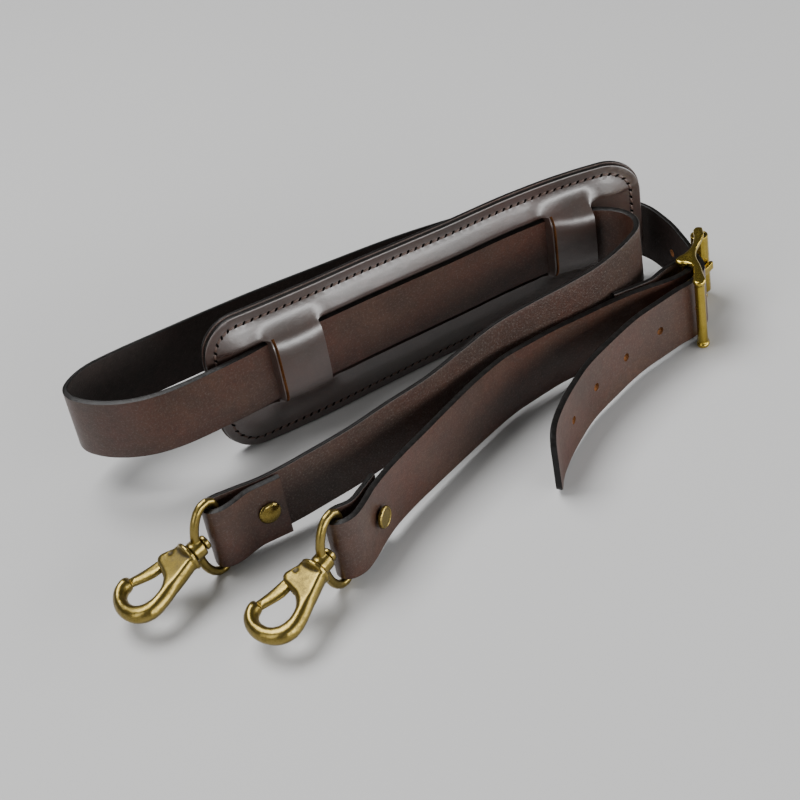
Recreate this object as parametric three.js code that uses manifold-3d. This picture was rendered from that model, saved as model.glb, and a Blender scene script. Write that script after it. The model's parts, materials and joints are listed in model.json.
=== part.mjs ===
// A leather camera neck strap laid on a table, in millimetres, with +Z up and +X along the shoulder pad.
// Every strap stands on its cut edge. One long strap runs from the first clip, curls back, passes under the
// pad's two bridges, makes a loop, returns behind the pad and threads the buckle, where its end stays free.
// A short strap joins the buckle's middle bar to the second clip.
import * as THREE from 'three';
import { mergeVertices } from 'three/addons/utils/BufferGeometryUtils.js';
import Module from 'manifold-3d';

const wasm = await Module();
wasm.setup();

// Leather
const STRAP_WIDTH = 25.4;
const STRAP_THICK = 2.2;
const EDGE_ROUND = 0.45;
const SECTION_TURN = 12;
const SECTION_STEP = 17;
const CLEARANCE = 0.3;
const HEAD_SEAT = 0.35;
const CAP_SEAT = 0.7;
const CLIP_STRAP_Z = 3.9;
const PAD_STRAP_Z = 19;
const BUCKLE_STRAP_Z = 3.1;
const HOLE_PITCH = 20;
const HOLE_RADIUS = 1.6;
const HOLES_BEFORE_TONGUE = 1;
const HOLES_AFTER_TONGUE = 5;
const HOLES_BACK = 1.2;
const TAIL_CORNER = 4;
const TAIL_TRIM = { inset: 0.1, past: 1, ahead: 2 };

// Shoulder pad: two plies, the front one cut by four slits that leave two raised bridges
const PAD_LEFT = -68;
const PAD_RIGHT = 120;
const PAD_HEIGHT = 58.5;
const PAD_CORNER = 15;
const FACE_THICK = 2;
const BACKING_THICK = 1.6;
const BACKING_MARGIN = 0.4;
const SLIT_WIDTH = 0.8;
const SLIT_OVERLAP = 1.6;
const BULGE_REACH = 5;
const BULGE_SHARE = 0.42;
const CREST_MARGIN = 0.5;
const BRIDGE_CROWN = 0.7;
const PAD_STRAP_GAP = 0.5;
const PAD_STRAP_FROM = 86;
const PAD_STRAP_TO = -50;
const PAD_STRAP_STEP = 13;

// Buckle
const SIDE_STRIP = 2.2;
const SIDE_STRIP_GAP = 0.4;
const SIDE_STRIP_BEVEL = 0.6;
const BAR_RADIUS = 1.6;
const FRONT_BAR_RADIUS = 2;
const ROLLER_BAR_RADIUS = 2;
const ROLLER_INNER = 2.6;
const ROLLER_OUTER = 3.5;
const TONGUE_THICK = 1.8;
const TONGUE_WIDTH = 3;
const TONGUE_EYE_WALL = 1.4;
const TONGUE_HOLE_MARGIN = 0.8;
const FOLD_SLOT = { x: 12, y: 14, margin: 1, ahead: 2.8 };
const CENTRE_BAR = { x: 112.5, y: -32.6 };
const ROLLER_BAR = { x: 129.5, y: -20 };
const FRONT_BAR = { x: 108.5, y: -48.5 };
const TONGUE_TIP = { x: 132, y: -24.1 };

// Clips: a D-ring in the strap's fold, and a swivel hook on the ring's barrel
const WIRE_RADIUS = 1.6;
const RING_INNER_HEIGHT = 26.8;
const RING_CORNER = 3.6;
const RING_DEPTH = 11.4;
const BARREL_RADIUS = 3.6;
const BARREL_HALF = 2.2;
const POST_RADIUS = 1.3;
const COLLAR_RADIUS = 5.6;
const HOOK_THICK = 5.6;
const HOOK_ROUND = 1.1;
const GATE_THICK = 2.8;
const PIN_RADIUS = 1.1;
const PIN = { u: 7.4, v: 4.9 };
const PIN_RECESS = 0.5;
const CLIPS = [
  { name: 'clip_1', barX: -93.2, barY: -46.2, ringTurn: 197, hookTurn: 190, slope: 13, roll: 0 },
  { name: 'clip_2', barX: -61.9, barY: -79, ringTurn: 203, hookTurn: 201, slope: 13, roll: 0 },
];

// The pad's front face on the table, left to right; lean is how far its top tips towards the viewer
const PAD_ROWS = [
  { x: PAD_LEFT, y: 10.2, lean: 0 },
  { x: -30, y: 9.6, lean: 0 },
  { x: 0, y: 11.3, lean: 1 },
  { x: 35, y: 13.2, lean: 3 },
  { x: 70, y: 14.8, lean: 4 },
  { x: 95, y: 12.2, lean: 4 },
  { x: PAD_RIGHT, y: 6, lean: 4 },
];

// How far each bridge stands off the pad at its two slits
const BRIDGES = [
  { left: -43.7, right: -23.7, riseLeft: 6, riseRight: 6 },
  { left: 79.2, right: 97.4, riseLeft: 6, riseRight: 9.4 },
];

// Middle of the long strap, from the loose flap at the first clip to the curl beside the pad
const LONG_START = [
  { at: 'flap end', x: -68.8, y: -47.1, z: CLIP_STRAP_Z, lean: 0 },
  { at: 'rivet', x: -75.5, y: -47.0, z: CLIP_STRAP_Z, lean: 0 },
  { at: 'flap swell', x: -81.5, y: -47.2, z: CLIP_STRAP_Z, lean: 0 },
  { at: 'flap crest', x: -89, y: -49.6, z: CLIP_STRAP_Z, lean: 0 },
  { at: 'fold near', x: -93.4, y: -50.1, z: CLIP_STRAP_Z, lean: 0 },
  { at: 'fold near corner', x: -96.2, y: -48.8, z: CLIP_STRAP_Z, lean: 0 },
  { at: 'fold nose', x: -97.1, y: -46.2, z: CLIP_STRAP_Z, lean: 0 },
  { at: 'fold far corner', x: -96, y: -43.5, z: CLIP_STRAP_Z, lean: 0 },
  { at: 'fold far', x: -93.2, y: -42.2, z: CLIP_STRAP_Z, lean: 0 },
  { at: 'behind flap', x: -85, y: -42.6, z: CLIP_STRAP_Z, lean: 0 },
  { at: 'rivet again', x: -75.5, y: -43.6, z: CLIP_STRAP_Z, lean: 0 },
  { at: 'leaves flap', x: -66, y: -43.7, z: 4.3, lean: 0 },
  { at: 'front run', x: -54, y: -43.4, z: 5.3, lean: 0 },
  { at: 'front run', x: -38, y: -42.4, z: 6.5, lean: 0 },
  { at: 'front run', x: -21, y: -39.9, z: 7.8, lean: 0 },
  { at: 'front run', x: -3, y: -37.5, z: 9, lean: 0 },
  { at: 'front run', x: 15, y: -33.4, z: 11, lean: 0 },
  { at: 'front run', x: 30, y: -30.6, z: 13, lean: 0 },
  { at: 'front run', x: 45, y: -30.2, z: 14.6, lean: 0 },
  { at: 'front run', x: 62, y: -30.2, z: 15.9, lean: 0 },
  { at: 'front run', x: 75, y: -29.3, z: 16.8, lean: 0 },
  { at: 'curl begins', x: 85, y: -27.1, z: 17.6, lean: 0 },
  { at: 'curl', x: 94.5, y: -23.6, z: 18.4, lean: 0 },
  { at: 'curl', x: 101, y: -19.8, z: 18.8, lean: 0 },
  { at: 'curl', x: 104.4, y: -14.6, z: PAD_STRAP_Z, lean: 0 },
  { at: 'curl', x: 104.9, y: -8.8, z: PAD_STRAP_Z, lean: 0 },
  { at: 'curl', x: 103, y: -3, z: PAD_STRAP_Z, lean: -1 },
  { at: 'curl', x: 99, y: 2, z: PAD_STRAP_Z, lean: -2 },
  { at: 'under right bridge', x: 94, y: 5.8, z: PAD_STRAP_Z, lean: -3 },
];

// The same strap from the pad's left end, round the loop, behind the pad and through the buckle
const LONG_END = [
  { at: 'off the pad', x: -53, y: 6.6, z: PAD_STRAP_Z, lean: 0 },
  { at: 'off the pad', x: -61, y: 5.9, z: PAD_STRAP_Z, lean: 0 },
  { at: 'loop', x: -69, y: 5.5, z: PAD_STRAP_Z, lean: 0 },
  { at: 'loop', x: -78, y: 5.1, z: PAD_STRAP_Z, lean: 0 },
  { at: 'loop', x: -86, y: 5.4, z: PAD_STRAP_Z, lean: 0 },
  { at: 'loop', x: -93.5, y: 6.8, z: PAD_STRAP_Z, lean: 0 },
  { at: 'loop', x: -100.5, y: 9.7, z: PAD_STRAP_Z, lean: 0 },
  { at: 'loop', x: -107, y: 14.2, z: PAD_STRAP_Z, lean: 0 },
  { at: 'loop', x: -112.4, y: 20, z: PAD_STRAP_Z, lean: 0 },
  { at: 'loop', x: -115.9, y: 26.8, z: PAD_STRAP_Z, lean: 0 },
  { at: 'loop', x: -115.8, y: 32.6, z: PAD_STRAP_Z, lean: 0 },
  { at: 'loop', x: -112, y: 37.4, z: PAD_STRAP_Z, lean: 0 },
  { at: 'loop', x: -105, y: 41.2, z: PAD_STRAP_Z, lean: 0 },
  { at: 'back run', x: -95, y: 43.7, z: 18.4, lean: 0 },
  { at: 'back run', x: -72, y: 45.8, z: 17.6, lean: 0 },
  { at: 'back run', x: -38, y: 47.2, z: 16.9, lean: 0 },
  { at: 'back run', x: 0, y: 46.8, z: 16, lean: 0 },
  { at: 'back run', x: 30, y: 46.3, z: 15, lean: 0 },
  { at: 'back run', x: 57, y: 43.4, z: 14, lean: 0 },
  { at: 'behind the pad', x: 78, y: 39.6, z: 12.6, lean: 0 },
  { at: 'behind the pad', x: 96, y: 34, z: 11, lean: 0 },
  { at: 'behind the pad', x: 111, y: 26, z: 9.2, lean: 0 },
  { at: 'comes into view', x: 120.5, y: 17, z: 7.6, lean: 0 },
  { at: 'right turn', x: 124.6, y: 8, z: 6.4, lean: 0 },
  { at: 'right turn', x: 125.5, y: 0, z: 5.4, lean: 0 },
  { at: 'right turn', x: 125.2, y: -8, z: 4.6, lean: 0 },
  { at: 'beside roller', x: 123.9, y: -16, z: 3.8, lean: 0 },
  { at: 'beside roller', x: 122.3, y: -23.5, z: BUCKLE_STRAP_Z, lean: 0 },
  { at: 'tongue hole', x: 120.6, y: -29.5, z: BUCKLE_STRAP_Z, lean: 0 },
  { at: 'round middle bar', x: 118.6, y: -36.4, z: BUCKLE_STRAP_Z, lean: 0 },
  { at: 'round middle bar', x: 113.8, y: -41.4, z: BUCKLE_STRAP_Z, lean: 0 },
  { at: 'under front bar', x: 107.5, y: -43.9, z: BUCKLE_STRAP_Z, lean: 0 },
  { at: 'tail', x: 100.5, y: -44.6, z: 2.9, lean: 0 },
  { at: 'tail', x: 92, y: -46.2, z: 2.8, lean: 0 },
  { at: 'tail', x: 79, y: -48.9, z: 2.6, lean: 0 },
  { at: 'tail', x: 62, y: -55.2, z: 2.3, lean: 0 },
  { at: 'tail', x: 49.8, y: -60.4, z: 1.9, lean: 0 },
  { at: 'tail', x: 40.2, y: -66.3, z: 1.6, lean: 0 },
  { at: 'tail', x: 29.9, y: -73.9, z: 1.2, lean: 0 },
  { at: 'tail', x: 21.9, y: -81.4, z: 0.9, lean: 0 },
  { at: 'tail end', x: 16.8, y: -88.3, z: 0.7, lean: 0 },
];

// Middle of the short strap, from its loose flap behind the buckle to its loose flap at the second clip
const SHORT_ROWS = [
  { at: 'flap end', x: 80.5, y: -31.3, z: 3.4, lean: 0 },
  { at: 'flap', x: 87, y: -31.7, z: BUCKLE_STRAP_Z, lean: 0 },
  { at: 'buckle rivet', x: 94, y: -32.2, z: BUCKLE_STRAP_Z, lean: 0 },
  { at: 'back layer', x: 98.5, y: -32.2, z: BUCKLE_STRAP_Z, lean: 0 },
  { at: 'back layer', x: 105, y: -30, z: BUCKLE_STRAP_Z, lean: 0 },
  { at: 'fold', x: 112.5, y: -28.9, z: BUCKLE_STRAP_Z, lean: 0 },
  { at: 'fold', x: 115.1, y: -30, z: BUCKLE_STRAP_Z, lean: 0 },
  { at: 'fold nose', x: 116.1, y: -32.6, z: BUCKLE_STRAP_Z, lean: 0 },
  { at: 'fold', x: 115.1, y: -35.2, z: BUCKLE_STRAP_Z, lean: 0 },
  { at: 'fold', x: 112.3, y: -36.5, z: BUCKLE_STRAP_Z, lean: 0 },
  { at: 'front layer', x: 106, y: -37.5, z: BUCKLE_STRAP_Z, lean: 0 },
  { at: 'front layer', x: 100, y: -37, z: BUCKLE_STRAP_Z, lean: 0 },
  { at: 'buckle rivet again', x: 94, y: -36, z: BUCKLE_STRAP_Z, lean: 0 },
  { at: 'run', x: 87, y: -35.1, z: 3.1, lean: 0 },
  { at: 'run', x: 77, y: -34.7, z: 3.1, lean: 0 },
  { at: 'run', x: 64, y: -35, z: 3.1, lean: 0 },
  { at: 'run', x: 52, y: -35.4, z: 3.2, lean: 0 },
  { at: 'run', x: 39.5, y: -37, z: 3.2, lean: 2 },
  { at: 'run', x: 28, y: -39.1, z: 3.3, lean: 4 },
  { at: 'run', x: 12, y: -45, z: 3.5, lean: 4 },
  { at: 'run', x: -3, y: -51.6, z: 3.6, lean: 2 },
  { at: 'run', x: -17, y: -58, z: 3.7, lean: 0 },
  { at: 'run', x: -29, y: -63.6, z: 3.8, lean: -1 },
  { at: 'run', x: -39, y: -69, z: CLIP_STRAP_Z, lean: -1 },
  { at: 'stud', x: -46.5, y: -74.1, z: CLIP_STRAP_Z, lean: 0 },
  { at: 'swell', x: -52.5, y: -79, z: CLIP_STRAP_Z, lean: 0 },
  { at: 'swell', x: -57.5, y: -82.2, z: CLIP_STRAP_Z, lean: 0 },
  { at: 'fold near', x: -61.8, y: -82.9, z: CLIP_STRAP_Z, lean: 0 },
  { at: 'fold', x: -64.8, y: -81.6, z: CLIP_STRAP_Z, lean: 0 },
  { at: 'fold nose', x: -65.8, y: -78.9, z: CLIP_STRAP_Z, lean: 0 },
  { at: 'fold', x: -64.5, y: -76.2, z: CLIP_STRAP_Z, lean: 0 },
  { at: 'fold far', x: -61.4, y: -74.9, z: CLIP_STRAP_Z, lean: 0 },
  { at: 'far flap', x: -55, y: -75, z: CLIP_STRAP_Z, lean: 0 },
  { at: 'stud again', x: -48.9, y: -71.5, z: CLIP_STRAP_Z, lean: 0 },
  { at: 'far flap end', x: -42.6, y: -67.3, z: CLIP_STRAP_Z, lean: 0 },
];

const COLORS = {
  leather: '#2e1d18',
  backing: '#1f1512',
  dark: '#1c1917',
  brass: '#9a7a3a',
  bright: '#b8943c',
};

// A closed triangle mesh as a geometry with its faces out
function solidGeometry(positions, indices) {
  let volume = 0;
  const corner = [new THREE.Vector3(), new THREE.Vector3(), new THREE.Vector3()];
  for (let i = 0; i < indices.length; i += 3) {
    corner.forEach((point, k) => point.fromArray(positions, indices[i + k] * 3));
    volume += corner[0].dot(corner[1].cross(corner[2]));
  }
  const faces = volume < 0 ? indices.slice().reverse() : indices;
  const geometry = new THREE.BufferGeometry();
  geometry.setAttribute('position', new THREE.Float32BufferAttribute(positions, 3));
  geometry.setIndex(faces);
  return geometry;
}

// Shared corners and no slivers where a turned profile meets its axis
function weld(geometry) {
  const bare = geometry.clone();
  bare.deleteAttribute('normal');
  bare.deleteAttribute('uv');
  const merged = mergeVertices(bare, 1e-4);
  const old = Array.from(merged.index.array);
  const kept = [];
  for (let i = 0; i < old.length; i += 3) {
    const [a, b, c] = old.slice(i, i + 3);
    if (a !== b && b !== c && c !== a) kept.push(a, b, c);
  }
  merged.setIndex(kept);
  return merged;
}

function toSolid(shape) {
  if (shape instanceof wasm.Manifold) return shape;
  const mesh = weld(shape);
  return new wasm.Manifold(new wasm.Mesh({
    numProp: 3,
    vertProperties: new Float32Array(mesh.attributes.position.array),
    triVerts: new Uint32Array(mesh.index.array),
  }));
}

function toGeometry(shape) {
  if (!(shape instanceof wasm.Manifold)) return shape;
  const mesh = shape.getMesh();
  const geometry = new THREE.BufferGeometry();
  geometry.setAttribute('position', new THREE.Float32BufferAttribute(mesh.vertProperties, 3));
  geometry.setIndex(Array.from(mesh.triVerts));
  return geometry;
}

function join(...shapes) {
  return shapes.map(toSolid).reduce((sum, solid) => sum.add(solid));
}

function cut(shape, ...tools) {
  return tools.map(toSolid).reduce((rest, tool) => rest.subtract(tool), toSolid(shape));
}

function turnFromY(axis) {
  return new THREE.Quaternion().setFromUnitVectors(new THREE.Vector3(0, 1, 0), axis);
}

// A cylinder whose axis runs from one point to another
function rod(from, to, radius, sides = 12) {
  const axis = new THREE.Vector3().subVectors(to, from);
  const geometry = new THREE.CylinderGeometry(radius, radius, axis.length(), sides);
  geometry.translate(0, axis.length() / 2, 0);
  geometry.applyQuaternion(turnFromY(axis.normalize()));
  return geometry.translate(from.x, from.y, from.z);
}

function uprightRod(place, radius, low, high) {
  return rod(new THREE.Vector3(place.x, place.y, low), new THREE.Vector3(place.x, place.y, high), radius);
}

// An outline made a plate with eased edges, its middle at height 0
function flatPlate(shape, thick, round, segments) {
  const geometry = new THREE.ExtrudeGeometry(shape, {
    depth: thick - 2 * round,
    bevelEnabled: round > 0,
    bevelThickness: round,
    bevelSize: round,
    bevelOffset: -round,
    bevelSegments: segments,
    curveSegments: 2,
  });
  return geometry.translate(0, 0, round - thick / 2);
}

// The smooth route of a strap's middle, with its frame: along, side (right of travel) and up
class StrapRoute {
  constructor(rows) {
    this.rows = rows;
    const points = rows.map((row) => new THREE.Vector3(row.x, row.y, row.z + STRAP_WIDTH / 2));
    this.curve = new THREE.CatmullRomCurve3(points, false, 'centripetal');
  }

  frame(t) {
    const place = t * (this.rows.length - 1);
    const i = Math.min(Math.floor(place), this.rows.length - 2);
    const degrees = THREE.MathUtils.lerp(this.rows[i].lean, this.rows[i + 1].lean, place - i);
    const lean = THREE.MathUtils.degToRad(degrees);
    const along = this.curve.getTangent(t);
    const up = new THREE.Vector3(0, 0, 1).addScaledVector(along, -along.z).normalize();
    const side = new THREE.Vector3().crossVectors(along, up);
    const leanedUp = up.clone().multiplyScalar(Math.cos(lean)).addScaledVector(side, Math.sin(lean));
    const leanedSide = side.clone().multiplyScalar(Math.cos(lean)).addScaledVector(up, -Math.sin(lean));
    return { t, point: this.curve.getPoint(t), along, side: leanedSide, up: leanedUp };
  }

  // Sections close together where the strap turns and further apart where it is straight
  stations() {
    const steps = this.rows.length * 30;
    const turn = THREE.MathUtils.degToRad(SECTION_TURN);
    const kept = [this.frame(0)];
    for (let i = 1; i < steps; i += 1) {
      const next = this.frame(i / steps);
      const last = kept[kept.length - 1];
      const far = next.point.distanceTo(last.point) > SECTION_STEP;
      if (far || next.along.angleTo(last.along) > turn) kept.push(next);
    }
    kept.push(this.frame(1));
    return kept;
  }

  // The frame at the row with this name, moved along the strap by a distance
  frameFrom(name, distance = 0) {
    const row = this.rows.findIndex((entry) => entry.at === name);
    const fine = this.rows.length * 60;
    let i = Math.round((row / (this.rows.length - 1)) * fine);
    let left = Math.abs(distance);
    const step = Math.sign(distance);
    let here = this.curve.getPoint(i / fine);
    while (left > 0) {
      i += step;
      const next = this.curve.getPoint(i / fine);
      left -= next.distanceTo(here);
      here = next;
    }
    return this.frame(i / fine);
  }
}

// A strap of one thickness swept along its route, with its four long corners eased
function strapGeometry(route) {
  const a = STRAP_THICK / 2;
  const b = STRAP_WIDTH / 2;
  const r = EDGE_ROUND;
  const section = [
    [a, r - b], [a, b - r], [a - r, b], [r - a, b],
    [-a, b - r], [-a, r - b], [r - a, -b], [a - r, -b],
  ];
  const frames = route.stations();
  const positions = [];
  frames.forEach(({ point, side, up }) => section.forEach(([s, u]) => {
    positions.push(...point.clone().addScaledVector(side, s).addScaledVector(up, u).toArray());
  }));
  const n = section.length;
  const indices = [];
  for (let i = 0; i < frames.length - 1; i += 1) {
    for (let k = 0; k < n; k += 1) {
      const [p, q] = [i * n + k, i * n + ((k + 1) % n)];
      indices.push(p, q, q + n, p, q + n, p + n);
    }
  }
  const end = (frames.length - 1) * n;
  for (let k = 1; k < n - 1; k += 1) {
    indices.push(0, k + 1, k, end, end + k, end + k + 1);
  }
  return solidGeometry(positions, indices);
}

// A round hole punched square through a strap
function punch({ point, side }) {
  const depth = STRAP_THICK * 3;
  const [from, to] = [-depth, depth].map((distance) => point.clone().addScaledVector(side, distance));
  return rod(from, to, HOLE_RADIUS);
}

// The pad's front face: a smooth line on the table, leaning by its rows
const padLine = PAD_ROWS.map(({ x, y }) => new THREE.Vector3(x, y, 0));
const padCurve = new THREE.CatmullRomCurve3(padLine, false, 'centripetal');

function padFrame(x) {
  let [low, high] = [0, 1];
  for (let i = 0; i < 40; i += 1) {
    const middle = (low + high) / 2;
    if (padCurve.getPoint(middle).x < x) low = middle;
    else high = middle;
  }
  const along = padCurve.getTangent(low);
  const place = Math.min(low * (PAD_ROWS.length - 1), PAD_ROWS.length - 1.001);
  const i = Math.floor(place);
  const lean = THREE.MathUtils.lerp(PAD_ROWS[i].lean, PAD_ROWS[i + 1].lean, place - i);
  return { point: padCurve.getPoint(low), out: new THREE.Vector3(along.y, -along.x, 0).normalize(), lean };
}

// A point of the pad at x, at a height, standing out from its front face
function padPoint(x, z, out) {
  const frame = padFrame(x);
  const tip = z * Math.tan(THREE.MathUtils.degToRad(frame.lean));
  return frame.point.clone().addScaledVector(frame.out, out + tip).setZ(z);
}

// The long strap lies against the pad's face between the two bridges
function padStretch() {
  const rows = [];
  for (let x = PAD_STRAP_FROM; x > PAD_STRAP_TO; x -= PAD_STRAP_STEP) {
    const middle = padPoint(x, PAD_STRAP_Z + STRAP_WIDTH / 2, PAD_STRAP_GAP + STRAP_THICK / 2);
    rows.push({ at: 'on the pad', x: middle.x, y: middle.y, z: PAD_STRAP_Z, lean: -padFrame(x).lean });
  }
  return rows;
}

const SLIT = { low: PAD_STRAP_Z - SLIT_OVERLAP, high: PAD_STRAP_Z + STRAP_WIDTH + SLIT_OVERLAP };
const CREST = { low: PAD_STRAP_Z - CREST_MARGIN, high: PAD_STRAP_Z + STRAP_WIDTH + CREST_MARGIN };

// Share of a bridge's rise at a height: a slope from the stitching to the slit's end, then up over the strap
function riseShare(z) {
  const beyond = z > (SLIT.low + SLIT.high) / 2 ? z - SLIT.high : SLIT.low - z;
  if (beyond >= BULGE_REACH) return 0;
  if (beyond >= 0) return BULGE_SHARE * (1 - beyond / BULGE_REACH) ** 2;
  const past = Math.min(-beyond / (SLIT.high - CREST.high), 1);
  return THREE.MathUtils.lerp(BULGE_SHARE, 1, past);
}

// How far the front ply stands off the pad's plane: the bridges, and the leather that they pull up
function bridgeRise(x, z) {
  for (const { left, right, riseLeft, riseRight } of BRIDGES) {
    const share = THREE.MathUtils.clamp((x - left) / (right - left), 0, 1);
    const crown = BRIDGE_CROWN * (1 - (2 * share - 1) ** 2);
    const rise = THREE.MathUtils.lerp(riseLeft, riseRight, share) + crown;
    const outside = Math.max(left - x, x - right, 0);
    if (outside < BULGE_REACH) {
      const pulled = z > SLIT.low + 0.01 && z < SLIT.high - 0.01 && outside > 0 ? 0 : riseShare(z);
      return rise * pulled * (1 - outside / BULGE_REACH) ** 2;
    }
  }
  return 0;
}

// Columns of a ply: close together at the rounded corners and the slits
function padColumns(margin, bridges) {
  const left = PAD_LEFT - margin;
  const right = PAD_RIGHT + margin;
  const columns = [];
  const cornerSteps = 5;
  for (let i = 0; i <= cornerSteps; i += 1) {
    const inset = PAD_CORNER * (1 - Math.cos((i / cornerSteps) * (Math.PI / 2)));
    columns.push(left + inset, right - inset);
  }
  bridges.forEach((bridge) => {
    columns.push(bridge.left - SLIT_WIDTH, bridge.left, bridge.right, bridge.right + SLIT_WIDTH);
    columns.push(bridge.left - BULGE_REACH, bridge.right + BULGE_REACH);
    const between = (share) => THREE.MathUtils.lerp(bridge.left, bridge.right, share);
    columns.push(...[0.2, 0.5, 0.8].map(between));
  });
  const body = 10;
  for (let x = left + PAD_CORNER + body; x < right - PAD_CORNER - 1; x += body) {
    if (columns.every((other) => Math.abs(other - x) > body * 0.35)) columns.push(x);
  }
  return columns.sort((a, b) => a - b);
}

// A ply with rounded corners; its slits are missing cells, and its bridges stand off
function plyGeometry({ margin, front, thick, bridges, foot }) {
  const columns = padColumns(margin, bridges);
  const top = PAD_HEIGHT + margin;
  const half = BULGE_REACH / 2;
  const heights = bridges.length
    ? [foot, 6, SLIT.low - BULGE_REACH, SLIT.low - half, SLIT.low, CREST.low, CREST.low + 8,
      CREST.high - 8, CREST.high, SLIT.high, SLIT.high + half, SLIT.high + BULGE_REACH, top]
    : [foot, 15, 31, 46, top];
  const [left, right] = [PAD_LEFT - margin, PAD_RIGHT + margin];
  const cornerDrop = (x) => {
    const inset = Math.min(x - left, right - x);
    if (inset >= PAD_CORNER) return 0;
    return PAD_CORNER - Math.sqrt(Math.max(PAD_CORNER ** 2 - (PAD_CORNER - inset) ** 2, 0));
  };
  const positions = [];
  columns.forEach((x) => heights.forEach((height) => {
    const drop = cornerDrop(x);
    const z = THREE.MathUtils.clamp(height, foot + drop, top - drop);
    const rise = bridges.length ? bridgeRise(x, z) : 0;
    const out = front + rise;
    positions.push(...padPoint(x, z, out).toArray(), ...padPoint(x, z, out - thick).toArray());
  }));
  const rows = heights.length;
  const vertex = (i, j, back) => (i * rows + j) * 2 + back;
  const isSlit = (i, j) => {
    const middle = (columns[i] + columns[i + 1]) / 2;
    const inHeight = heights[j] >= SLIT.low - 0.01 && heights[j + 1] <= SLIT.high + 0.01;
    const slits = bridges.flatMap((bridge) => [bridge.left - SLIT_WIDTH / 2, bridge.right + SLIT_WIDTH / 2]);
    return inHeight && slits.some((slit) => Math.abs(middle - slit) < 0.1);
  };
  const isCell = (i, j) => i >= 0 && j >= 0 && i < columns.length - 1 && j < rows - 1 && !isSlit(i, j);
  const indices = [];
  const quad = (a, b, c, d) => indices.push(a, b, c, a, c, d);
  for (let i = 0; i < columns.length - 1; i += 1) {
    for (let j = 0; j < rows - 1; j += 1) {
      if (isCell(i, j)) {
        quad(vertex(i, j, 0), vertex(i + 1, j, 0), vertex(i + 1, j + 1, 0), vertex(i, j + 1, 0));
        quad(vertex(i, j, 1), vertex(i, j + 1, 1), vertex(i + 1, j + 1, 1), vertex(i + 1, j, 1));
        if (!isCell(i, j - 1)) {
          quad(vertex(i, j, 0), vertex(i, j, 1), vertex(i + 1, j, 1), vertex(i + 1, j, 0));
        }
        if (!isCell(i, j + 1)) {
          quad(vertex(i, j + 1, 0), vertex(i + 1, j + 1, 0), vertex(i + 1, j + 1, 1), vertex(i, j + 1, 1));
        }
        if (!isCell(i - 1, j)) {
          quad(vertex(i, j, 0), vertex(i, j + 1, 0), vertex(i, j + 1, 1), vertex(i, j, 1));
        }
        if (!isCell(i + 1, j)) {
          quad(vertex(i + 1, j, 0), vertex(i + 1, j, 1), vertex(i + 1, j + 1, 1), vertex(i + 1, j + 1, 0));
        }
      }
    }
  }
  return solidGeometry(positions, indices);
}

const longRoute = new StrapRoute([...LONG_START, ...padStretch(), ...LONG_END]);
const shortRoute = new StrapRoute(SHORT_ROWS);

// Where a fastener goes through two layers, square to the nearer one
function fastenedPair(route, nearName, farName) {
  const [near, far] = [route.frameFrom(nearName), route.frameFrom(farName)];
  const between = new THREE.Vector3().subVectors(near.point, far.point);
  const axis = near.side.clone().multiplyScalar(Math.sign(near.side.dot(between)));
  return { point: near.point, axis, spacing: between.dot(axis) };
}

// A head on the near layer, a plain cap on the far one, and one shank between them
function fastener({ point, axis, spacing }, head) {
  const seat = STRAP_THICK / 2 + HEAD_SEAT;
  const capSeat = -spacing - STRAP_THICK / 2 - CAP_SEAT;
  const profile = [
    [0, capSeat - 0.9], [2.6, capSeat - 0.9], [3.2, capSeat - 0.4], [3.2, capSeat], [POST_RADIUS, capSeat],
    [POST_RADIUS, seat], ...head.map(([r, h]) => [r, seat + h]),
  ].map(([r, h]) => new THREE.Vector2(r, h));
  const geometry = new THREE.LatheGeometry(profile, 16);
  geometry.applyQuaternion(turnFromY(axis));
  return geometry.translate(point.x, point.y, point.z);
}

const DOME_HEAD = [[4.3, 0], [4.3, 0.4], [3.6, 1], [2, 1.5], [0, 1.7]];
const STUD_HEAD = [[2.6, 0], [2.6, 0.9], [4.1, 0.9], [4.1, 1.9], [3.5, 2.3], [3.1, 2], [0, 2]];
const FLAT_HEAD = [[4.4, 0], [4.4, 0.3], [3.6, 0.8], [0, 0.9]];

function shankHole({ point, axis, spacing }) {
  const reach = STRAP_THICK;
  const from = point.clone().addScaledVector(axis, -spacing - reach);
  return rod(from, point.clone().addScaledVector(axis, reach), POST_RADIUS + CLEARANCE);
}

const clip1Pair = fastenedPair(longRoute, 'rivet', 'rivet again');
const clip2Pair = fastenedPair(shortRoute, 'stud', 'stud again');
const bucklePair = fastenedPair(shortRoute, 'buckle rivet again', 'buckle rivet');

const tongueZ = BUCKLE_STRAP_Z + STRAP_WIDTH / 2;
const tongueFrom = new THREE.Vector3(CENTRE_BAR.x, CENTRE_BAR.y, tongueZ);
const tongueTo = new THREE.Vector3(TONGUE_TIP.x, TONGUE_TIP.y, tongueZ);

// What is trimmed off the tail to round the two corners of its end
function tailTrim() {
  const { point, along, side, up } = longRoute.frame(1);
  const half = STRAP_WIDTH / 2;
  const wide = half + TAIL_TRIM.past;
  const shape = new THREE.Shape();
  shape.moveTo(-TAIL_CORNER, wide);
  shape.lineTo(-TAIL_CORNER, half);
  shape.absarc(-TAIL_CORNER, half - TAIL_CORNER, TAIL_CORNER, Math.PI / 2, 0, true);
  shape.absarc(-TAIL_CORNER, TAIL_CORNER - half, TAIL_CORNER, 0, -Math.PI / 2, true);
  shape.lineTo(-TAIL_CORNER, -wide);
  shape.lineTo(TAIL_TRIM.ahead, -wide);
  shape.lineTo(TAIL_TRIM.ahead, wide);
  shape.closePath();
  const trim = flatPlate(shape, STRAP_THICK * 3, 0, 1).translate(-TAIL_TRIM.inset, 0, 0);
  return trim.applyMatrix4(new THREE.Matrix4().makeBasis(along, up, side).setPosition(point));
}

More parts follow.
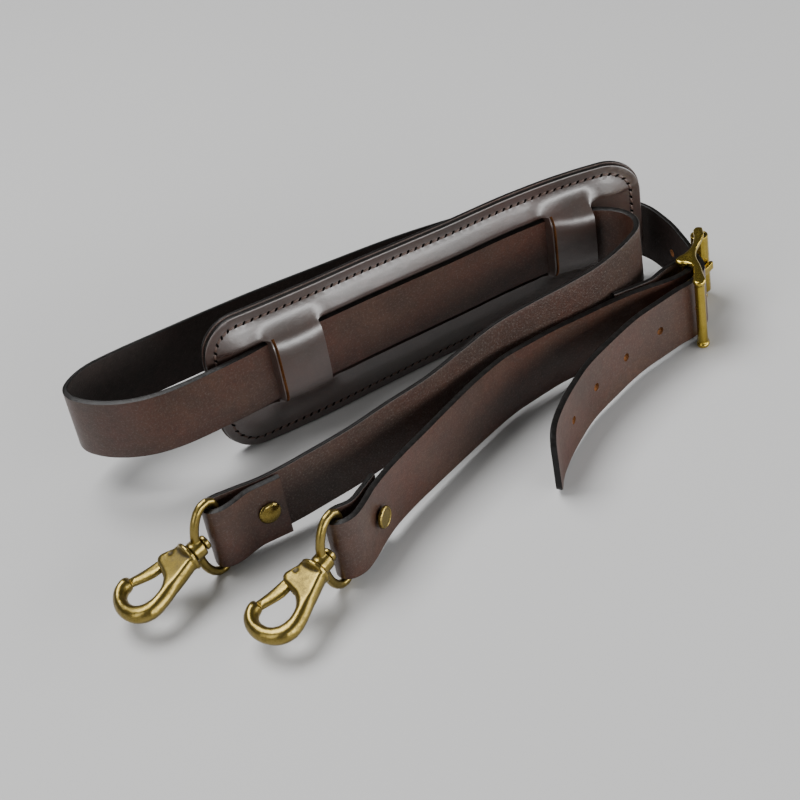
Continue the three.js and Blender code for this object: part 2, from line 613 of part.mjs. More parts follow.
function longStrap() {
  const holes = [];
  for (let i = -HOLES_BEFORE_TONGUE; i <= HOLES_AFTER_TONGUE; i += 1) {
    if (i !== 0) holes.push(punch(longRoute.frameFrom('tongue hole', i * HOLE_PITCH - HOLES_BACK)));
  }
  const [near, far] = [0.15, 0.75].map((share) => tongueFrom.clone().lerp(tongueTo, share));
  holes.push(rod(near, far, TONGUE_WIDTH / 2 + TONGUE_HOLE_MARGIN));
  return cut(strapGeometry(longRoute), shankHole(clip1Pair), tailTrim(), ...holes);
}

function shortStrap() {
  const slot = new THREE.BoxGeometry(FOLD_SLOT.x, FOLD_SLOT.y, TONGUE_WIDTH + 2 * FOLD_SLOT.margin);
  slot.translate(CENTRE_BAR.x + FOLD_SLOT.ahead, CENTRE_BAR.y, tongueZ);
  return cut(strapGeometry(shortRoute), shankHole(clip2Pair), shankHole(bucklePair), slot);
}

// The buckle's side strip seen from above: a nose over the roller, a lobe over the middle bar
function sideStripShape() {
  const shape = new THREE.Shape();
  shape.moveTo(131.9, -19.2);
  shape.splineThru([
    [130.2, -17.5], [127.9, -18.4], [125.6, -22], [121.4, -26.6], [116, -29.6], [111.6, -30.1],
    [109.7, -31.8], [110.1, -34], [112, -36], [112.2, -39.4], [109.2, -43.8], [106.3, -47.4],
    [106.1, -49.8], [108.3, -51.2], [110.8, -49.7], [112.4, -46], [115.2, -40.6], [117.4, -34.8],
    [120.6, -30.6], [125.4, -27], [129.6, -23.4],
  ].map(([x, y]) => new THREE.Vector2(x, y)));
  shape.closePath();
  return shape;
}

function sideStrip(low) {
  const plate = flatPlate(sideStripShape(), SIDE_STRIP, SIDE_STRIP_BEVEL, 1);
  return plate.translate(0, 0, low + SIDE_STRIP / 2);
}

const buckleTop = BUCKLE_STRAP_Z + STRAP_WIDTH + SIDE_STRIP_GAP;
const buckleBottom = BUCKLE_STRAP_Z - SIDE_STRIP_GAP - SIDE_STRIP;

function buckleFrame() {
  const [low, high] = [buckleBottom + SIDE_STRIP / 2, buckleTop + SIDE_STRIP / 2];
  return join(
    sideStrip(buckleBottom),
    sideStrip(buckleTop),
    uprightRod(CENTRE_BAR, BAR_RADIUS, low, high),
    uprightRod(ROLLER_BAR, ROLLER_BAR_RADIUS, low, high),
    uprightRod(FRONT_BAR, FRONT_BAR_RADIUS, low, high),
  );
}

function buckleRoller() {
  const low = buckleBottom + SIDE_STRIP + CLEARANCE;
  const high = buckleTop - CLEARANCE;
  const outline = [[ROLLER_INNER, low], [ROLLER_OUTER, low], [ROLLER_OUTER, high], [ROLLER_INNER, high]];
  const profile = [...outline, outline[0]].map(([r, h]) => new THREE.Vector2(r, h));
  const geometry = new THREE.LatheGeometry(profile, 14);
  return geometry.rotateX(Math.PI / 2).translate(ROLLER_BAR.x, ROLLER_BAR.y, 0);
}

// The tongue: an eye round the middle bar and an arm whose tip lies on the roller
function buckleTongue() {
  const along = new THREE.Vector2(TONGUE_TIP.x - CENTRE_BAR.x, TONGUE_TIP.y - CENTRE_BAR.y);
  const length = along.length();
  const eye = BAR_RADIUS + CLEARANCE + TONGUE_EYE_WALL;
  const half = TONGUE_THICK / 2;
  const turn = Math.asin(half / eye);
  const shape = new THREE.Shape();
  shape.absarc(0, 0, eye, turn, 2 * Math.PI - turn, false);
  shape.lineTo(length - half, -half);
  shape.absarc(length - half, 0, half, -Math.PI / 2, Math.PI / 2, false);
  shape.closePath();
  const hole = new THREE.Path();
  hole.absarc(0, 0, BAR_RADIUS + CLEARANCE, 0, 2 * Math.PI, true);
  shape.holes.push(hole);
  const sweep = { depth: TONGUE_WIDTH, bevelEnabled: false, curveSegments: 7 };
  const geometry = new THREE.ExtrudeGeometry(shape, sweep);
  geometry.translate(0, 0, -TONGUE_WIDTH / 2).rotateZ(along.angle());
  return geometry.translate(tongueFrom.x, tongueFrom.y, tongueFrom.z);
}

// Where a clip's barrel sits, and the hook's own axes: along the post, towards the gate, and out of its face
function clipAxes(clip) {
  const radians = THREE.MathUtils.degToRad;
  const ringZ = CLIP_STRAP_Z + STRAP_WIDTH / 2;
  const lobe = new THREE.Vector3(Math.cos(radians(clip.ringTurn)), Math.sin(radians(clip.ringTurn)), 0);
  const bar = new THREE.Vector3(clip.barX, clip.barY, ringZ);
  const barrel = bar.clone().addScaledVector(lobe, RING_DEPTH);
  const [turn, slope] = [radians(clip.hookTurn), radians(clip.slope)];
  const post = new THREE.Vector3(Math.cos(turn), Math.sin(turn), 0).multiplyScalar(Math.cos(slope));
  post.setZ(-Math.sin(slope));
  const level = new THREE.Vector3(Math.sin(turn), -Math.cos(turn), 0);
  const gateward = level.applyAxisAngle(post, radians(-clip.roll));
  const face = new THREE.Vector3().crossVectors(post, gateward);
  const hookMatrix = new THREE.Matrix4().makeBasis(post, gateward, face).setPosition(barrel);
  return { bar, lobe, barrel, post, gateward, face, hookMatrix };
}

// The handle length, as a share of the radius, that makes a Bezier curve a quarter of a circle
const QUARTER_HANDLE = 0.5523;

// A D-ring's wire: the straight bar stands in the fold and the round side holds the barrel
function ringPath() {
  const half = RING_INNER_HEIGHT / 2 + WIRE_RADIUS;
  const path = new THREE.CurvePath();
  const flat = (x, z) => new THREE.Vector3(x, 0, z);
  const reach = RING_DEPTH - RING_CORNER;
  const k = QUARTER_HANDLE;
  path.add(new THREE.LineCurve3(flat(0, RING_CORNER - half), flat(0, half - RING_CORNER)));
  path.add(new THREE.CubicBezierCurve3(
    flat(0, half - RING_CORNER), flat(0, half - RING_CORNER * (1 - k)),
    flat(RING_CORNER * (1 - k), half), flat(RING_CORNER, half),
  ));
  path.add(new THREE.CubicBezierCurve3(
    flat(RING_CORNER, half), flat(RING_CORNER + reach * k, half),
    flat(RING_DEPTH, half * k), flat(RING_DEPTH, 0),
  ));
  path.add(new THREE.CubicBezierCurve3(
    flat(RING_DEPTH, 0), flat(RING_DEPTH, -half * k),
    flat(RING_CORNER + reach * k, -half), flat(RING_CORNER, -half),
  ));
  path.add(new THREE.CubicBezierCurve3(
    flat(RING_CORNER, -half), flat(RING_CORNER * (1 - k), -half),
    flat(0, RING_CORNER * (1 - k) - half), flat(0, RING_CORNER - half),
  ));
  return path;
}

function clipRing(clip) {
  const { bar, barrel, post } = clipAxes(clip);
  const wire = new THREE.TubeGeometry(ringPath(), 28, WIRE_RADIUS, 8, true);
  wire.rotateZ(THREE.MathUtils.degToRad(clip.ringTurn)).translate(bar.x, bar.y, bar.z);
  const spot = (distance) => barrel.clone().addScaledVector(post, distance);
  const solid = join(wire, rod(spot(-BARREL_HALF), spot(BARREL_HALF), BARREL_RADIUS));
  return cut(solid, rod(spot(-BARREL_HALF - 2), spot(BARREL_HALF + 2), POST_RADIUS + CLEARANCE));
}

// The hook's flat outline, u along the post and v towards the gate
function hookShape() {
  const shape = new THREE.Shape();
  const through = (points) => shape.splineThru(points.map(([u, v]) => new THREE.Vector2(u, v)));
  shape.moveTo(3.4, 5.2);
  shape.lineTo(9.4, 8.4);
  through([
    [11.4, 8], [13.2, 5.6], [14, 2.4], [15.4, -1.2], [18.2, -4], [22.3, -4.9],
    [26, -3.4], [27.8, 0.4], [27.3, 4.4], [25.2, 6.8], [22.6, 7.3],
  ]);
  shape.lineTo(21.6, 11.8);
  through([
    [25.4, 12.2], [29.2, 10.2], [32, 6], [33.1, 0.8], [32.2, -4.8],
    [29.4, -8.8], [24.8, -10.8], [19.2, -10], [14, -8],
  ]);
  shape.lineTo(3.4, -4.8);
  shape.closePath();
  return shape;
}

// Post, riveted head and collar turned about the hook's axis
function hookPost() {
  const gap = BARREL_HALF + CLEARANCE * 2;
  const profile = [
    [0, -gap - 1.8], [2.2, -gap - 1.8], [2.7, -gap - 1.3], [2.7, -gap],
    [POST_RADIUS, -gap], [POST_RADIUS, gap], [COLLAR_RADIUS - 0.5, gap],
    [COLLAR_RADIUS, gap + 0.5], [COLLAR_RADIUS, gap + 1.1], [3.4, gap + 2.2], [0, gap + 2.2],
  ].map(([r, h]) => new THREE.Vector2(r, h));
  return new THREE.LatheGeometry(profile, 16).rotateZ(-Math.PI / 2);
}

// The gate's cross pin, or a bore for it
function pinRod(radius, half) {
  return rod(new THREE.Vector3(PIN.u, PIN.v, -half), new THREE.Vector3(PIN.u, PIN.v, half), radius, 10);
}

function clipHook(clip) {
  const slotShape = new THREE.Shape([[4.7, 1.4], [8, 1], [12, -1.5], [18, -1.5], [18, 14], [4.7, 14]]
    .map(([u, v]) => new THREE.Vector2(u, v)));
  const slot = flatPlate(slotShape, GATE_THICK + 2 * CLEARANCE, 0, 1);
  const casting = join(flatPlate(hookShape(), HOOK_THICK, HOOK_ROUND, 2), hookPost());
  const slotted = cut(casting, slot, pinRod(PIN_RADIUS, HOOK_THICK));
  const hook = join(slotted, pinRod(PIN_RADIUS, HOOK_THICK / 2 - PIN_RECESS));
  return toGeometry(hook).applyMatrix4(clipAxes(clip).hookMatrix);
}

function clipGate(clip) {
  const shape = new THREE.Shape();
  shape.moveTo(5.3, 4);
  shape.splineThru([[5.2, 6], [6.6, 7.4], [8.4, 7.6]].map(([u, v]) => new THREE.Vector2(u, v)));
  shape.lineTo(12.4, 8.2);
  shape.lineTo(21.2, 11.1);
  shape.lineTo(22.1, 7.2);
  shape.lineTo(14.8, 3.4);
  shape.lineTo(8, 2.4);
  shape.closePath();
  const plate = flatPlate(shape, GATE_THICK, 0.4, 1);
  const gate = cut(plate, pinRod(PIN_RADIUS + CLEARANCE, HOOK_THICK));
  return toGeometry(gate).applyMatrix4(clipAxes(clip).hookMatrix);
}

const strap = new THREE.Group();

function add(name, shape, color, roughness, metalness) {
  const material = new THREE.MeshStandardMaterial({ color, roughness, metalness });
  const mesh = new THREE.Mesh(toGeometry(shape), material);
  mesh.name = name;
  strap.add(mesh);
}

add('pad_face', plyGeometry({ margin: 0, front: 0, thick: FACE_THICK, bridges: BRIDGES, foot: 0.5 }),
  COLORS.leather, 0.45, 0);
add('pad_backing', plyGeometry({
  margin: BACKING_MARGIN, front: -FACE_THICK - CLEARANCE, thick: BACKING_THICK, bridges: [], foot: 0,
}), COLORS.backing, 0.6, 0);
add('long_strap', longStrap(), COLORS.leather, 0.45, 0);
add('short_strap', shortStrap(), COLORS.leather, 0.45, 0);
add('buckle_frame', buckleFrame(), COLORS.bright, 0.3, 1);
add('buckle_roller', buckleRoller(), COLORS.bright, 0.35, 1);
add('buckle_tongue', buckleTongue(), COLORS.bright, 0.35, 1);
add('buckle_rivet', fastener(bucklePair, FLAT_HEAD), COLORS.dark, 0.5, 1);
add('clip_1_rivet', fastener(clip1Pair, DOME_HEAD), COLORS.brass, 0.35, 1);
add('clip_2_stud', fastener(clip2Pair, STUD_HEAD), COLORS.brass, 0.4, 1);
CLIPS.forEach((clip) => {
  add(`${clip.name}_ring`, clipRing(clip), COLORS.brass, 0.35, 1);
  add(`${clip.name}_hook`, clipHook(clip), COLORS.brass, 0.35, 1);
  add(`${clip.name}_gate`, clipGate(clip), COLORS.brass, 0.4, 1);
});

// The origin is under the middle of the whole part, on the table
const bounds = new THREE.Box3().setFromObject(strap);
const middle = bounds.getCenter(new THREE.Vector3());
strap.position.set(-middle.x, -middle.y, -bounds.min.z);

export default strap;
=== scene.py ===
"""A worn leather camera neck strap: pad, straps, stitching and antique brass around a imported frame."""
import bisect
import json
import math
from collections import namedtuple

import bmesh
import bpy
import numpy as np
from mathutils import Matrix, Vector


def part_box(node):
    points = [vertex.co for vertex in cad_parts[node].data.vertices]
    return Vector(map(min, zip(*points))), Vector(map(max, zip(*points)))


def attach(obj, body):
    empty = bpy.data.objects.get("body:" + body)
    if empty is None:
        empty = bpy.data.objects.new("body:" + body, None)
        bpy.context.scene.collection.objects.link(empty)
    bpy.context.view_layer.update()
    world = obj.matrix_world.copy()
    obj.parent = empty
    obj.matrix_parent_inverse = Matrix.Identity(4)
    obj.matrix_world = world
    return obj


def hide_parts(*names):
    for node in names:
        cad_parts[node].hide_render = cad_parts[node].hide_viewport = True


bl_info = {
    "name": "Camera neck strap",
    "version": (1, 0, 0),
    "blender": (4, 5, 0),
    "location": "View3D > Sidebar > Neck strap",
    "description": "Stitched leather camera strap with a shoulder pad, buckle and two swivel snap hooks",
    "category": "Add Mesh",
}

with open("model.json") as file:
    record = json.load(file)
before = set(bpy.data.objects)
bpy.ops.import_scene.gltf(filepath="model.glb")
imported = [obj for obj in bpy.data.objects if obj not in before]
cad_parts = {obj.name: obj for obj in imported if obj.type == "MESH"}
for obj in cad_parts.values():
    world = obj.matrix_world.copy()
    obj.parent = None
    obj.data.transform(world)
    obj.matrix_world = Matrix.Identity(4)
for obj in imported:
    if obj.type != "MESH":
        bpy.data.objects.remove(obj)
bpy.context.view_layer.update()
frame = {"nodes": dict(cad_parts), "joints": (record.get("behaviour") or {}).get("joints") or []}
MM = 0.001

# The straps' lay in millimetres, in the plan that the part was drawn in; lean is in degrees
STRAP_WIDTH = 25.4
STRAP_THICK = 2.2
PAD_STRAP_Z = 19.0
PAD_STRAP_GAP = 0.5
PAD_STRAP_FROM, PAD_STRAP_TO, PAD_STRAP_STEP = 86, -50, 13
HOLE_PITCH, HOLES_BACK = 20, 1.2
HOLES_BEFORE_TONGUE, HOLES_AFTER_TONGUE = 1, 5
TAIL_CORNER = 4.0
SHANK_RADIUS = 1.6
TONGUE_ROOT, TONGUE_TIP = Vector((112.5, -32.6, 0)), Vector((132, -24.1, 0))
TONGUE_HOLE_RADIUS, TONGUE_HOLE_FROM, TONGUE_HOLE_TO = 2.3, 0.15, 0.75
TONGUE_SLOT, TONGUE_SLOT_OFFSET = Vector((12, 14, 5)), 2.8
PAD_LEFT, PAD_RIGHT, PAD_HEIGHT, PAD_CORNER = -68.0, 120.0, 58.5, 15.0
FACE_THICK, BACKING_THICK, PLY_GAP, BACKING_MARGIN = 2.0, 1.6, 0.3, 0.4
FACE_FOOT, FACE_RIM, BACKING_RIM = 0.5, 0.45, 0.4
CLIP_1_BAR = Vector((-93.2, -46.2, 0.0))

# The slits, in millimetres and degrees, and how the front ply rises over the strap between them
SLIT_WIDTH, SLIT_OVERLAP, SLIT_SKIVE = 0.8, 1.6, 38
SLIT_LOW, SLIT_HIGH = PAD_STRAP_Z - SLIT_OVERLAP, PAD_STRAP_Z + STRAP_WIDTH + SLIT_OVERLAP
BULGE_REACH, SLOPE_SHARE, SLOPE_POWER = 6.2, 0.6, 1.5
BRIDGE_CROWN, BRIDGE_TOP, ARCH_POWER = 0.7, 1.06, 6

# The pad's seam: the pricks, and the stitches that lie between them
PRICK_LENGTH, PRICK_WIDTH, PRICK_DEPTH, PRICK_SLANT = 1.0, 0.5, 1.1, 38
STITCH_LENGTH, STITCH_WIDTH, STITCH_HEIGHT, STITCH_SLANT = 1.3, 0.5, 0.42, 12
BACK_STITCH_WIDTH, BACK_STITCH_HEIGHT, BACK_STITCH_SLANT = 0.42, 0.36, 8

# A hook in its own axes, in millimetres along its post: its body, its bow, and how round their edges are
HOOK_BODY_FROM, BOW_FROM, GATE_TIP_LENGTH = 4.2, 11, 6
BODY_ROUND, HOOK_ROUND = 1.4, 2.9
CHEEK_SHARE, GATE_SHARE, GATE_RIM_SHARE = 0.92, 0.85, 0.45
# The last is the radius, in millimetres, of the painted shade laid round each hook's pin.
HOOK_GROWTH, GATE_GROWTH, PIN_SHADE_RADIUS = 1.1, 2.2, 0.9

# The finishes of a strap's faces, by material index
# The last index is painted shade: a darker copy of the flesh side, used where the strap lies inside the loop
# and behind the pad.
GRAIN_SIDE, FLESH_SIDE, CUT_EDGE, PAINTED_SHADE_FLESH = range(4)

Row = namedtuple("Row", "at x y z lean")
PadRow = namedtuple("PadRow", "x y lean")
Bridge = namedtuple("Bridge", "left right rise_left rise_right")
Clip = namedtuple("Clip", "origin post gateward face pin")

PAD_ROWS = [
    PadRow(PAD_LEFT, 10.2, 0), PadRow(-30, 9.6, 0), PadRow(0, 11.3, 1), PadRow(35, 13.2, 3),
    PadRow(70, 14.8, 4), PadRow(95, 12.2, 4), PadRow(PAD_RIGHT, 6, 4),
]
BRIDGES = [Bridge(-43.7, -23.7, 6, 6), Bridge(79.2, 97.4, 6, 9.4)]

# Middle of the long strap's lower edge, from the flap at the first clip to the right bridge
LONG_START = [
    Row("flap end", -68.8, -47.1, 3.9, 0),
    Row("rivet", -75.5, -47.0, 3.9, 0),
    Row("flap swell", -81.5, -47.2, 3.9, 0),
    Row("flap crest", -89, -49.6, 3.9, 0),
    Row("fold near", -93.4, -50.1, 3.9, 0),
    Row("fold near corner", -96.2, -48.8, 3.9, 0),
    Row("fold nose", -97.1, -46.2, 3.9, 0),
    Row("fold far corner", -96, -43.5, 3.9, 0),
    Row("fold far", -93.2, -42.2, 3.9, 0),
    Row("behind flap", -85, -42.6, 3.9, 0),
    Row("rivet again", -75.5, -43.6, 3.9, 0),
    Row("leaves flap", -66, -43.7, 4.3, 0),
    Row("front run", -54, -43.4, 5.3, 0),
    Row("front run", -38, -42.4, 6.5, 0),
    Row("front run", -21, -39.9, 7.8, 0),
    Row("front run", -3, -37.5, 9, 0),
    Row("front run", 15, -33.4, 11, 0),
    Row("front run", 30, -30.6, 13, 0),
    Row("front run", 45, -30.2, 14.6, 0),
    Row("front run", 62, -30.2, 15.9, 0),
    Row("front run", 75, -29.3, 16.8, 0),
    Row("curl begins", 85, -27.1, 17.6, 0),
    Row("curl", 94.5, -23.6, 18.4, 0),
    Row("curl", 101, -19.8, 18.8, 0),
    Row("curl", 104.4, -14.6, 19, 0),
    Row("curl", 104.9, -8.8, 19, 0),
    Row("curl", 103, -3, 19, -1),
    Row("curl", 99, 2, 19, -2),
    Row("under right bridge", 94, 5.8, 19, -3),
]

# The same strap off the pad, round the loop, behind the pad and through the buckle to its end
LONG_END = [
    Row("off the pad", -53, 6.6, 19, 0),
    Row("off the pad", -61, 5.9, 19, 0),
    Row("loop", -69, 5.5, 19, 0),
    Row("loop", -78, 5.1, 19, 0),
    Row("loop", -86, 5.4, 19, 0),
    Row("loop", -93.5, 6.8, 19, 0),
    Row("loop", -100.5, 9.7, 19, 0),
    Row("loop", -107, 14.2, 19, 0),
    Row("loop", -112.4, 20, 19, 0),
    Row("loop", -115.9, 26.8, 19, 0),
    Row("loop", -115.8, 32.6, 19, 0),
    Row("loop", -112, 37.4, 19, 0),
    Row("loop", -105, 41.2, 19, 0),
    Row("back run", -95, 43.7, 18.4, 0),
    Row("back run", -72, 45.8, 17.6, 0),
    Row("back run", -38, 47.2, 16.9, 0),
    Row("back run", 0, 46.8, 16, 0),
    Row("back run", 30, 46.3, 15, 0),
    Row("back run", 57, 43.4, 14, 0),
    Row("behind the pad", 78, 39.6, 12.6, 0),
    Row("behind the pad", 96, 34, 11, 0),
    Row("behind the pad", 111, 26, 9.2, 0),
    Row("comes into view", 120.5, 17, 7.6, 0),
    Row("right turn", 124.6, 8, 6.4, 0),
    Row("right turn", 125.5, 0, 5.4, 0),
    Row("right turn", 125.2, -8, 4.6, 0),
    Row("beside roller", 123.9, -16, 3.8, 0),
    Row("beside roller", 122.3, -23.5, 3.1, 0),
    Row("tongue hole", 120.6, -29.5, 3.1, 0),
    Row("round middle bar", 118.6, -36.4, 3.1, 0),
    Row("round middle bar", 113.8, -41.4, 3.1, 0),
    Row("under front bar", 107.5, -43.9, 3.1, 0),
    Row("tail", 100.5, -44.6, 2.9, 0),
    Row("tail", 92, -46.2, 2.8, 0),
    Row("tail", 79, -48.9, 2.6, 0),
    Row("tail", 62, -55.2, 2.3, 0),
    Row("tail", 49.8, -60.4, 1.9, 0),
    Row("tail", 40.2, -66.3, 1.6, 0),
    Row("tail", 29.9, -73.9, 1.2, 0),
    Row("tail", 21.9, -81.4, 0.9, 0),
    Row("tail end", 16.8, -88.3, 0.7, 0),
]

# Middle of the short strap's lower edge, from its flap behind the buckle to its flap at the second clip
SHORT_ROWS = [
    Row("flap end", 80.5, -31.3, 3.4, 0),
    Row("flap", 87, -31.7, 3.1, 0),
    Row("buckle rivet", 94, -32.2, 3.1, 0),
    Row("back layer", 98.5, -32.2, 3.1, 0),
    Row("back layer", 105, -30, 3.1, 0),
    Row("fold", 112.5, -28.9, 3.1, 0),
    Row("fold", 115.1, -30, 3.1, 0),
    Row("fold nose", 116.1, -32.6, 3.1, 0),
    Row("fold", 115.1, -35.2, 3.1, 0),
    Row("fold", 112.3, -36.5, 3.1, 0),
    Row("front layer", 106, -37.5, 3.1, 0),
    Row("front layer", 100, -37, 3.1, 0),
    Row("buckle rivet again", 94, -36, 3.1, 0),
    Row("run", 87, -35.1, 3.1, 0),
    Row("run", 77, -34.7, 3.1, 0),
    Row("run", 64, -35, 3.1, 0),
    Row("run", 52, -35.4, 3.2, 0),
    Row("run", 39.5, -37, 3.2, 2),
    Row("run", 28, -39.1, 3.3, 4),
    Row("run", 12, -45, 3.5, 4),
    Row("run", -3, -51.6, 3.6, 2),
    Row("run", -17, -58, 3.7, 0),
    Row("run", -29, -63.6, 3.8, -1),
    Row("run", -39, -69, 3.9, -1),
    Row("stud", -46.5, -74.1, 3.9, 0),
    Row("swell", -52.5, -79, 3.9, 0),
    Row("swell", -57.5, -82.2, 3.9, 0),
    Row("fold near", -61.8, -82.9, 3.9, 0),
    Row("fold", -64.8, -81.6, 3.9, 0),
    Row("fold nose", -65.8, -78.9, 3.9, 0),
    Row("fold", -64.5, -76.2, 3.9, 0),
    Row("fold far", -61.4, -74.9, 3.9, 0),
    Row("far flap", -55, -75, 3.9, 0),
    Row("stud again", -48.9, -71.5, 3.9, 0),
    Row("far flap end", -42.6, -67.3, 3.9, 0),
]


def linear(colour):
    """An sRGB hex colour as linear red, green and blue."""
    parts = [int(colour[i:i + 2], 16) / 255 for i in (1, 3, 5)]
    return tuple(p / 12.92 if p <= 0.04045 else ((p + 0.055) / 1.055) ** 2.4 for p in parts)


def mix(a, b, share):
    return a + (b - a) * share


def smooth(share):
    share = min(max(share, 0.0), 1.0)
    return share * share * (3 - 2 * share)


class LeatherSettings(bpy.types.PropertyGroup):
    """Sizes and colours of the straps and the pad."""

    edge_radius: bpy.props.FloatProperty(
        name="Edge radius", description="How far the straps' cut edges are rounded over",
        default=0.6 * MM, unit="LENGTH")
    hole_radius: bpy.props.FloatProperty(
        name="Hole radius", description="Radius of the punched holes in the tail",
        default=1.6 * MM, unit="LENGTH")
    seam_inset: bpy.props.FloatProperty(
        name="Seam inset", description="From the pad's edge to its stitching",
        default=3.9 * MM, unit="LENGTH")
    stitch_pitch: bpy.props.FloatProperty(
        name="Stitch pitch", description="From one stitch to the next",
        default=3.3 * MM, unit="LENGTH")
    grain: bpy.props.FloatVectorProperty(
        name="Grain side", description="Colour of the waxed face", size=3, subtype="COLOR",
        default=linear("#3a2419"))
    flesh: bpy.props.FloatVectorProperty(
        name="Flesh side", description="Colour of the rough inner face", size=3, subtype="COLOR",
        default=linear("#35231a"))
    burnish: bpy.props.FloatVectorProperty(
        name="Burnished edge", description="Colour of the inked and rubbed edges", size=3,
        subtype="COLOR", default=linear("#0d0b0a"))
    raw: bpy.props.FloatVectorProperty(
        name="Raw cut", description="Colour where a slit or hole shows the undyed core", size=3,
        subtype="COLOR", default=linear("#7a4c24"))
    thread: bpy.props.FloatVectorProperty(
        name="Thread", description="Colour of the waxed thread", size=3, subtype="COLOR",
        default=linear("#4a3830"))


class MetalSettings(bpy.types.PropertyGroup):
    """Fineness and colours of the brass."""

    voxel: bpy.props.FloatProperty(
        name="Casting detail", description="Size of the smallest form that a casting keeps",
        default=0.26 * MM, unit="LENGTH")
    antique: bpy.props.FloatVectorProperty(
        name="Antique brass", description="Colour of the rubbed clips", size=3, subtype="COLOR",
        default=linear("#7f6e36"))
    bright: bpy.props.FloatVectorProperty(
        name="Buckle brass", description="Colour of the cleaner buckle", size=3, subtype="COLOR",
        default=linear("#a08a36"))
    patina: bpy.props.FloatVectorProperty(
        name="Patina", description="Colour that stays in the recesses", size=3, subtype="COLOR",
        default=linear("#2a2316"))


class StageSettings(bpy.types.PropertyGroup):
    """Floor, lights and camera."""

    floor: bpy.props.FloatVectorProperty(
        name="Floor", description="Colour of the plain floor", size=3, subtype="COLOR",
        default=linear("#b9b9b9"))
    lens: bpy.props.FloatProperty(
        name="Lens", description="Focal length of the camera", default=76.5, unit="CAMERA")


class StrapSettings(bpy.types.PropertyGroup):
    """All that a user may change."""

    leather: bpy.props.PointerProperty(type=LeatherSettings)
    metal: bpy.props.PointerProperty(type=MetalSettings)
    stage: bpy.props.PointerProperty(type=StageSettings)


def plan_shift():
    """From the plan's own zero to the frame's, found at the first ring's bar."""
    joint = next(j for j in frame["joints"] if j["name"] == "clip_1_ring_swing")
    place = Vector(joint["pos_m"]) / MM - CLIP_1_BAR
    return Vector((place.x, place.y, 0.0))


SHIFT = plan_shift()


def span(points, place):
    """Point and direction on the smooth curve through some points, at a place counted in points."""
    i = min(int(place), len(points) - 2)
    p1, p2 = points[i], points[i + 1]
    p0 = points[i - 1] if i else p1 * 2 - p2
    p3 = points[i + 2] if i + 2 < len(points) else p2 * 2 - p1
    d0, d1, d2 = [(b - a).length ** 0.5 for a, b in ((p0, p1), (p1, p2), (p2, p3))]
    t1 = ((p1 - p0) / d0 - (p2 - p0) / (d0 + d1) + (p2 - p1) / d1) * d1
    t2 = ((p2 - p1) / d1 - (p3 - p1) / (d1 + d2) + (p3 - p2) / d2) * d1
    w = place - i
    c2 = (p2 - p1) * 3 - t1 * 2 - t2
    c3 = (p1 - p2) * 2 + t1 + t2
    return p1 + t1 * w + c2 * w ** 2 + c3 * w ** 3, t1 + c2 * 2 * w + c3 * 3 * w ** 2


class PadForm:
    """The pad's front face: an upright ribbon along its rows, which leans, bulges and curves."""

    SAMPLES = 500

    def __init__(self):
        points = [Vector((row.x, row.y, 0)) for row in PAD_ROWS]
        last = len(points) - 1
        self.frames = []
        for k in range(self.SAMPLES + 1):
            place = last * k / self.SAMPLES
            point, along = span(points, place)
            i = min(int(place), last - 1)
            lean = mix(PAD_ROWS[i].lean, PAD_ROWS[i + 1].lean, place - i)
            self.frames.append((point, Vector((along.y, -along.x, 0)).normalized(), lean))
        self.keys = [point.x for point, _out, _lean in self.frames]

    def frame(self, x):
        i = min(max(bisect.bisect(self.keys, x) - 1, 0), self.SAMPLES - 1)
        (p, out, lean), (q, out_q, lean_q) = self.frames[i], self.frames[i + 1]
        share = (x - p.x) / (q.x - p.x)
        return p.lerp(q, share), out.lerp(out_q, min(max(share, 0), 1)).normalized(), mix(lean, lean_q, share)

    def place(self, x, z, out):
        point, outward, lean = self.frame(x)
        place = point + outward * (out + z * math.tan(math.radians(lean)))
        return Vector((place.x, place.y, z))


PAD = PadForm()


def bridge_rise(x, z):
    """How far the front ply stands off its plane: bridges, and the leather that they pull up."""
    seated = 0.05
    for bridge in BRIDGES:
        share = min(max((x - bridge.left) / (bridge.right - bridge.left), 0), 1)
        height = mix(bridge.rise_left, bridge.rise_right, share) + BRIDGE_CROWN * (1 - (2 * share - 1) ** 2)
        outside = max(bridge.left - x, x - bridge.right) - seated
        if outside >= BULGE_REACH:
            continue
        beyond = max(SLIT_LOW - z, z - SLIT_HIGH)
        if beyond >= BULGE_REACH:
            return 0.0
        if beyond >= 0:
            lift = SLOPE_SHARE * (1 - beyond / BULGE_REACH) ** SLOPE_POWER
        elif outside > 0:
            lift = SLOPE_SHARE * (1 - smooth(-beyond / SLIT_OVERLAP))
        else:
            arch = 1 - (1 + 2 * beyond / (SLIT_HIGH - SLIT_LOW)) ** ARCH_POWER
            lift = mix(SLOPE_SHARE, BRIDGE_TOP, arch)
        return height * lift * (1 - max(outside, 0) / BULGE_REACH) ** 2
    return 0.0


def rim_distance(x, z):
    """How far a point of the pad lies inside its rounded outline."""
    inset_x, inset_z = min(x - PAD_LEFT, PAD_RIGHT - x), min(z, PAD_HEIGHT - z)
    if inset_x < PAD_CORNER and inset_z < PAD_CORNER:
        return PAD_CORNER - math.hypot(PAD_CORNER - inset_x, PAD_CORNER - inset_z)
    return min(inset_x, inset_z)


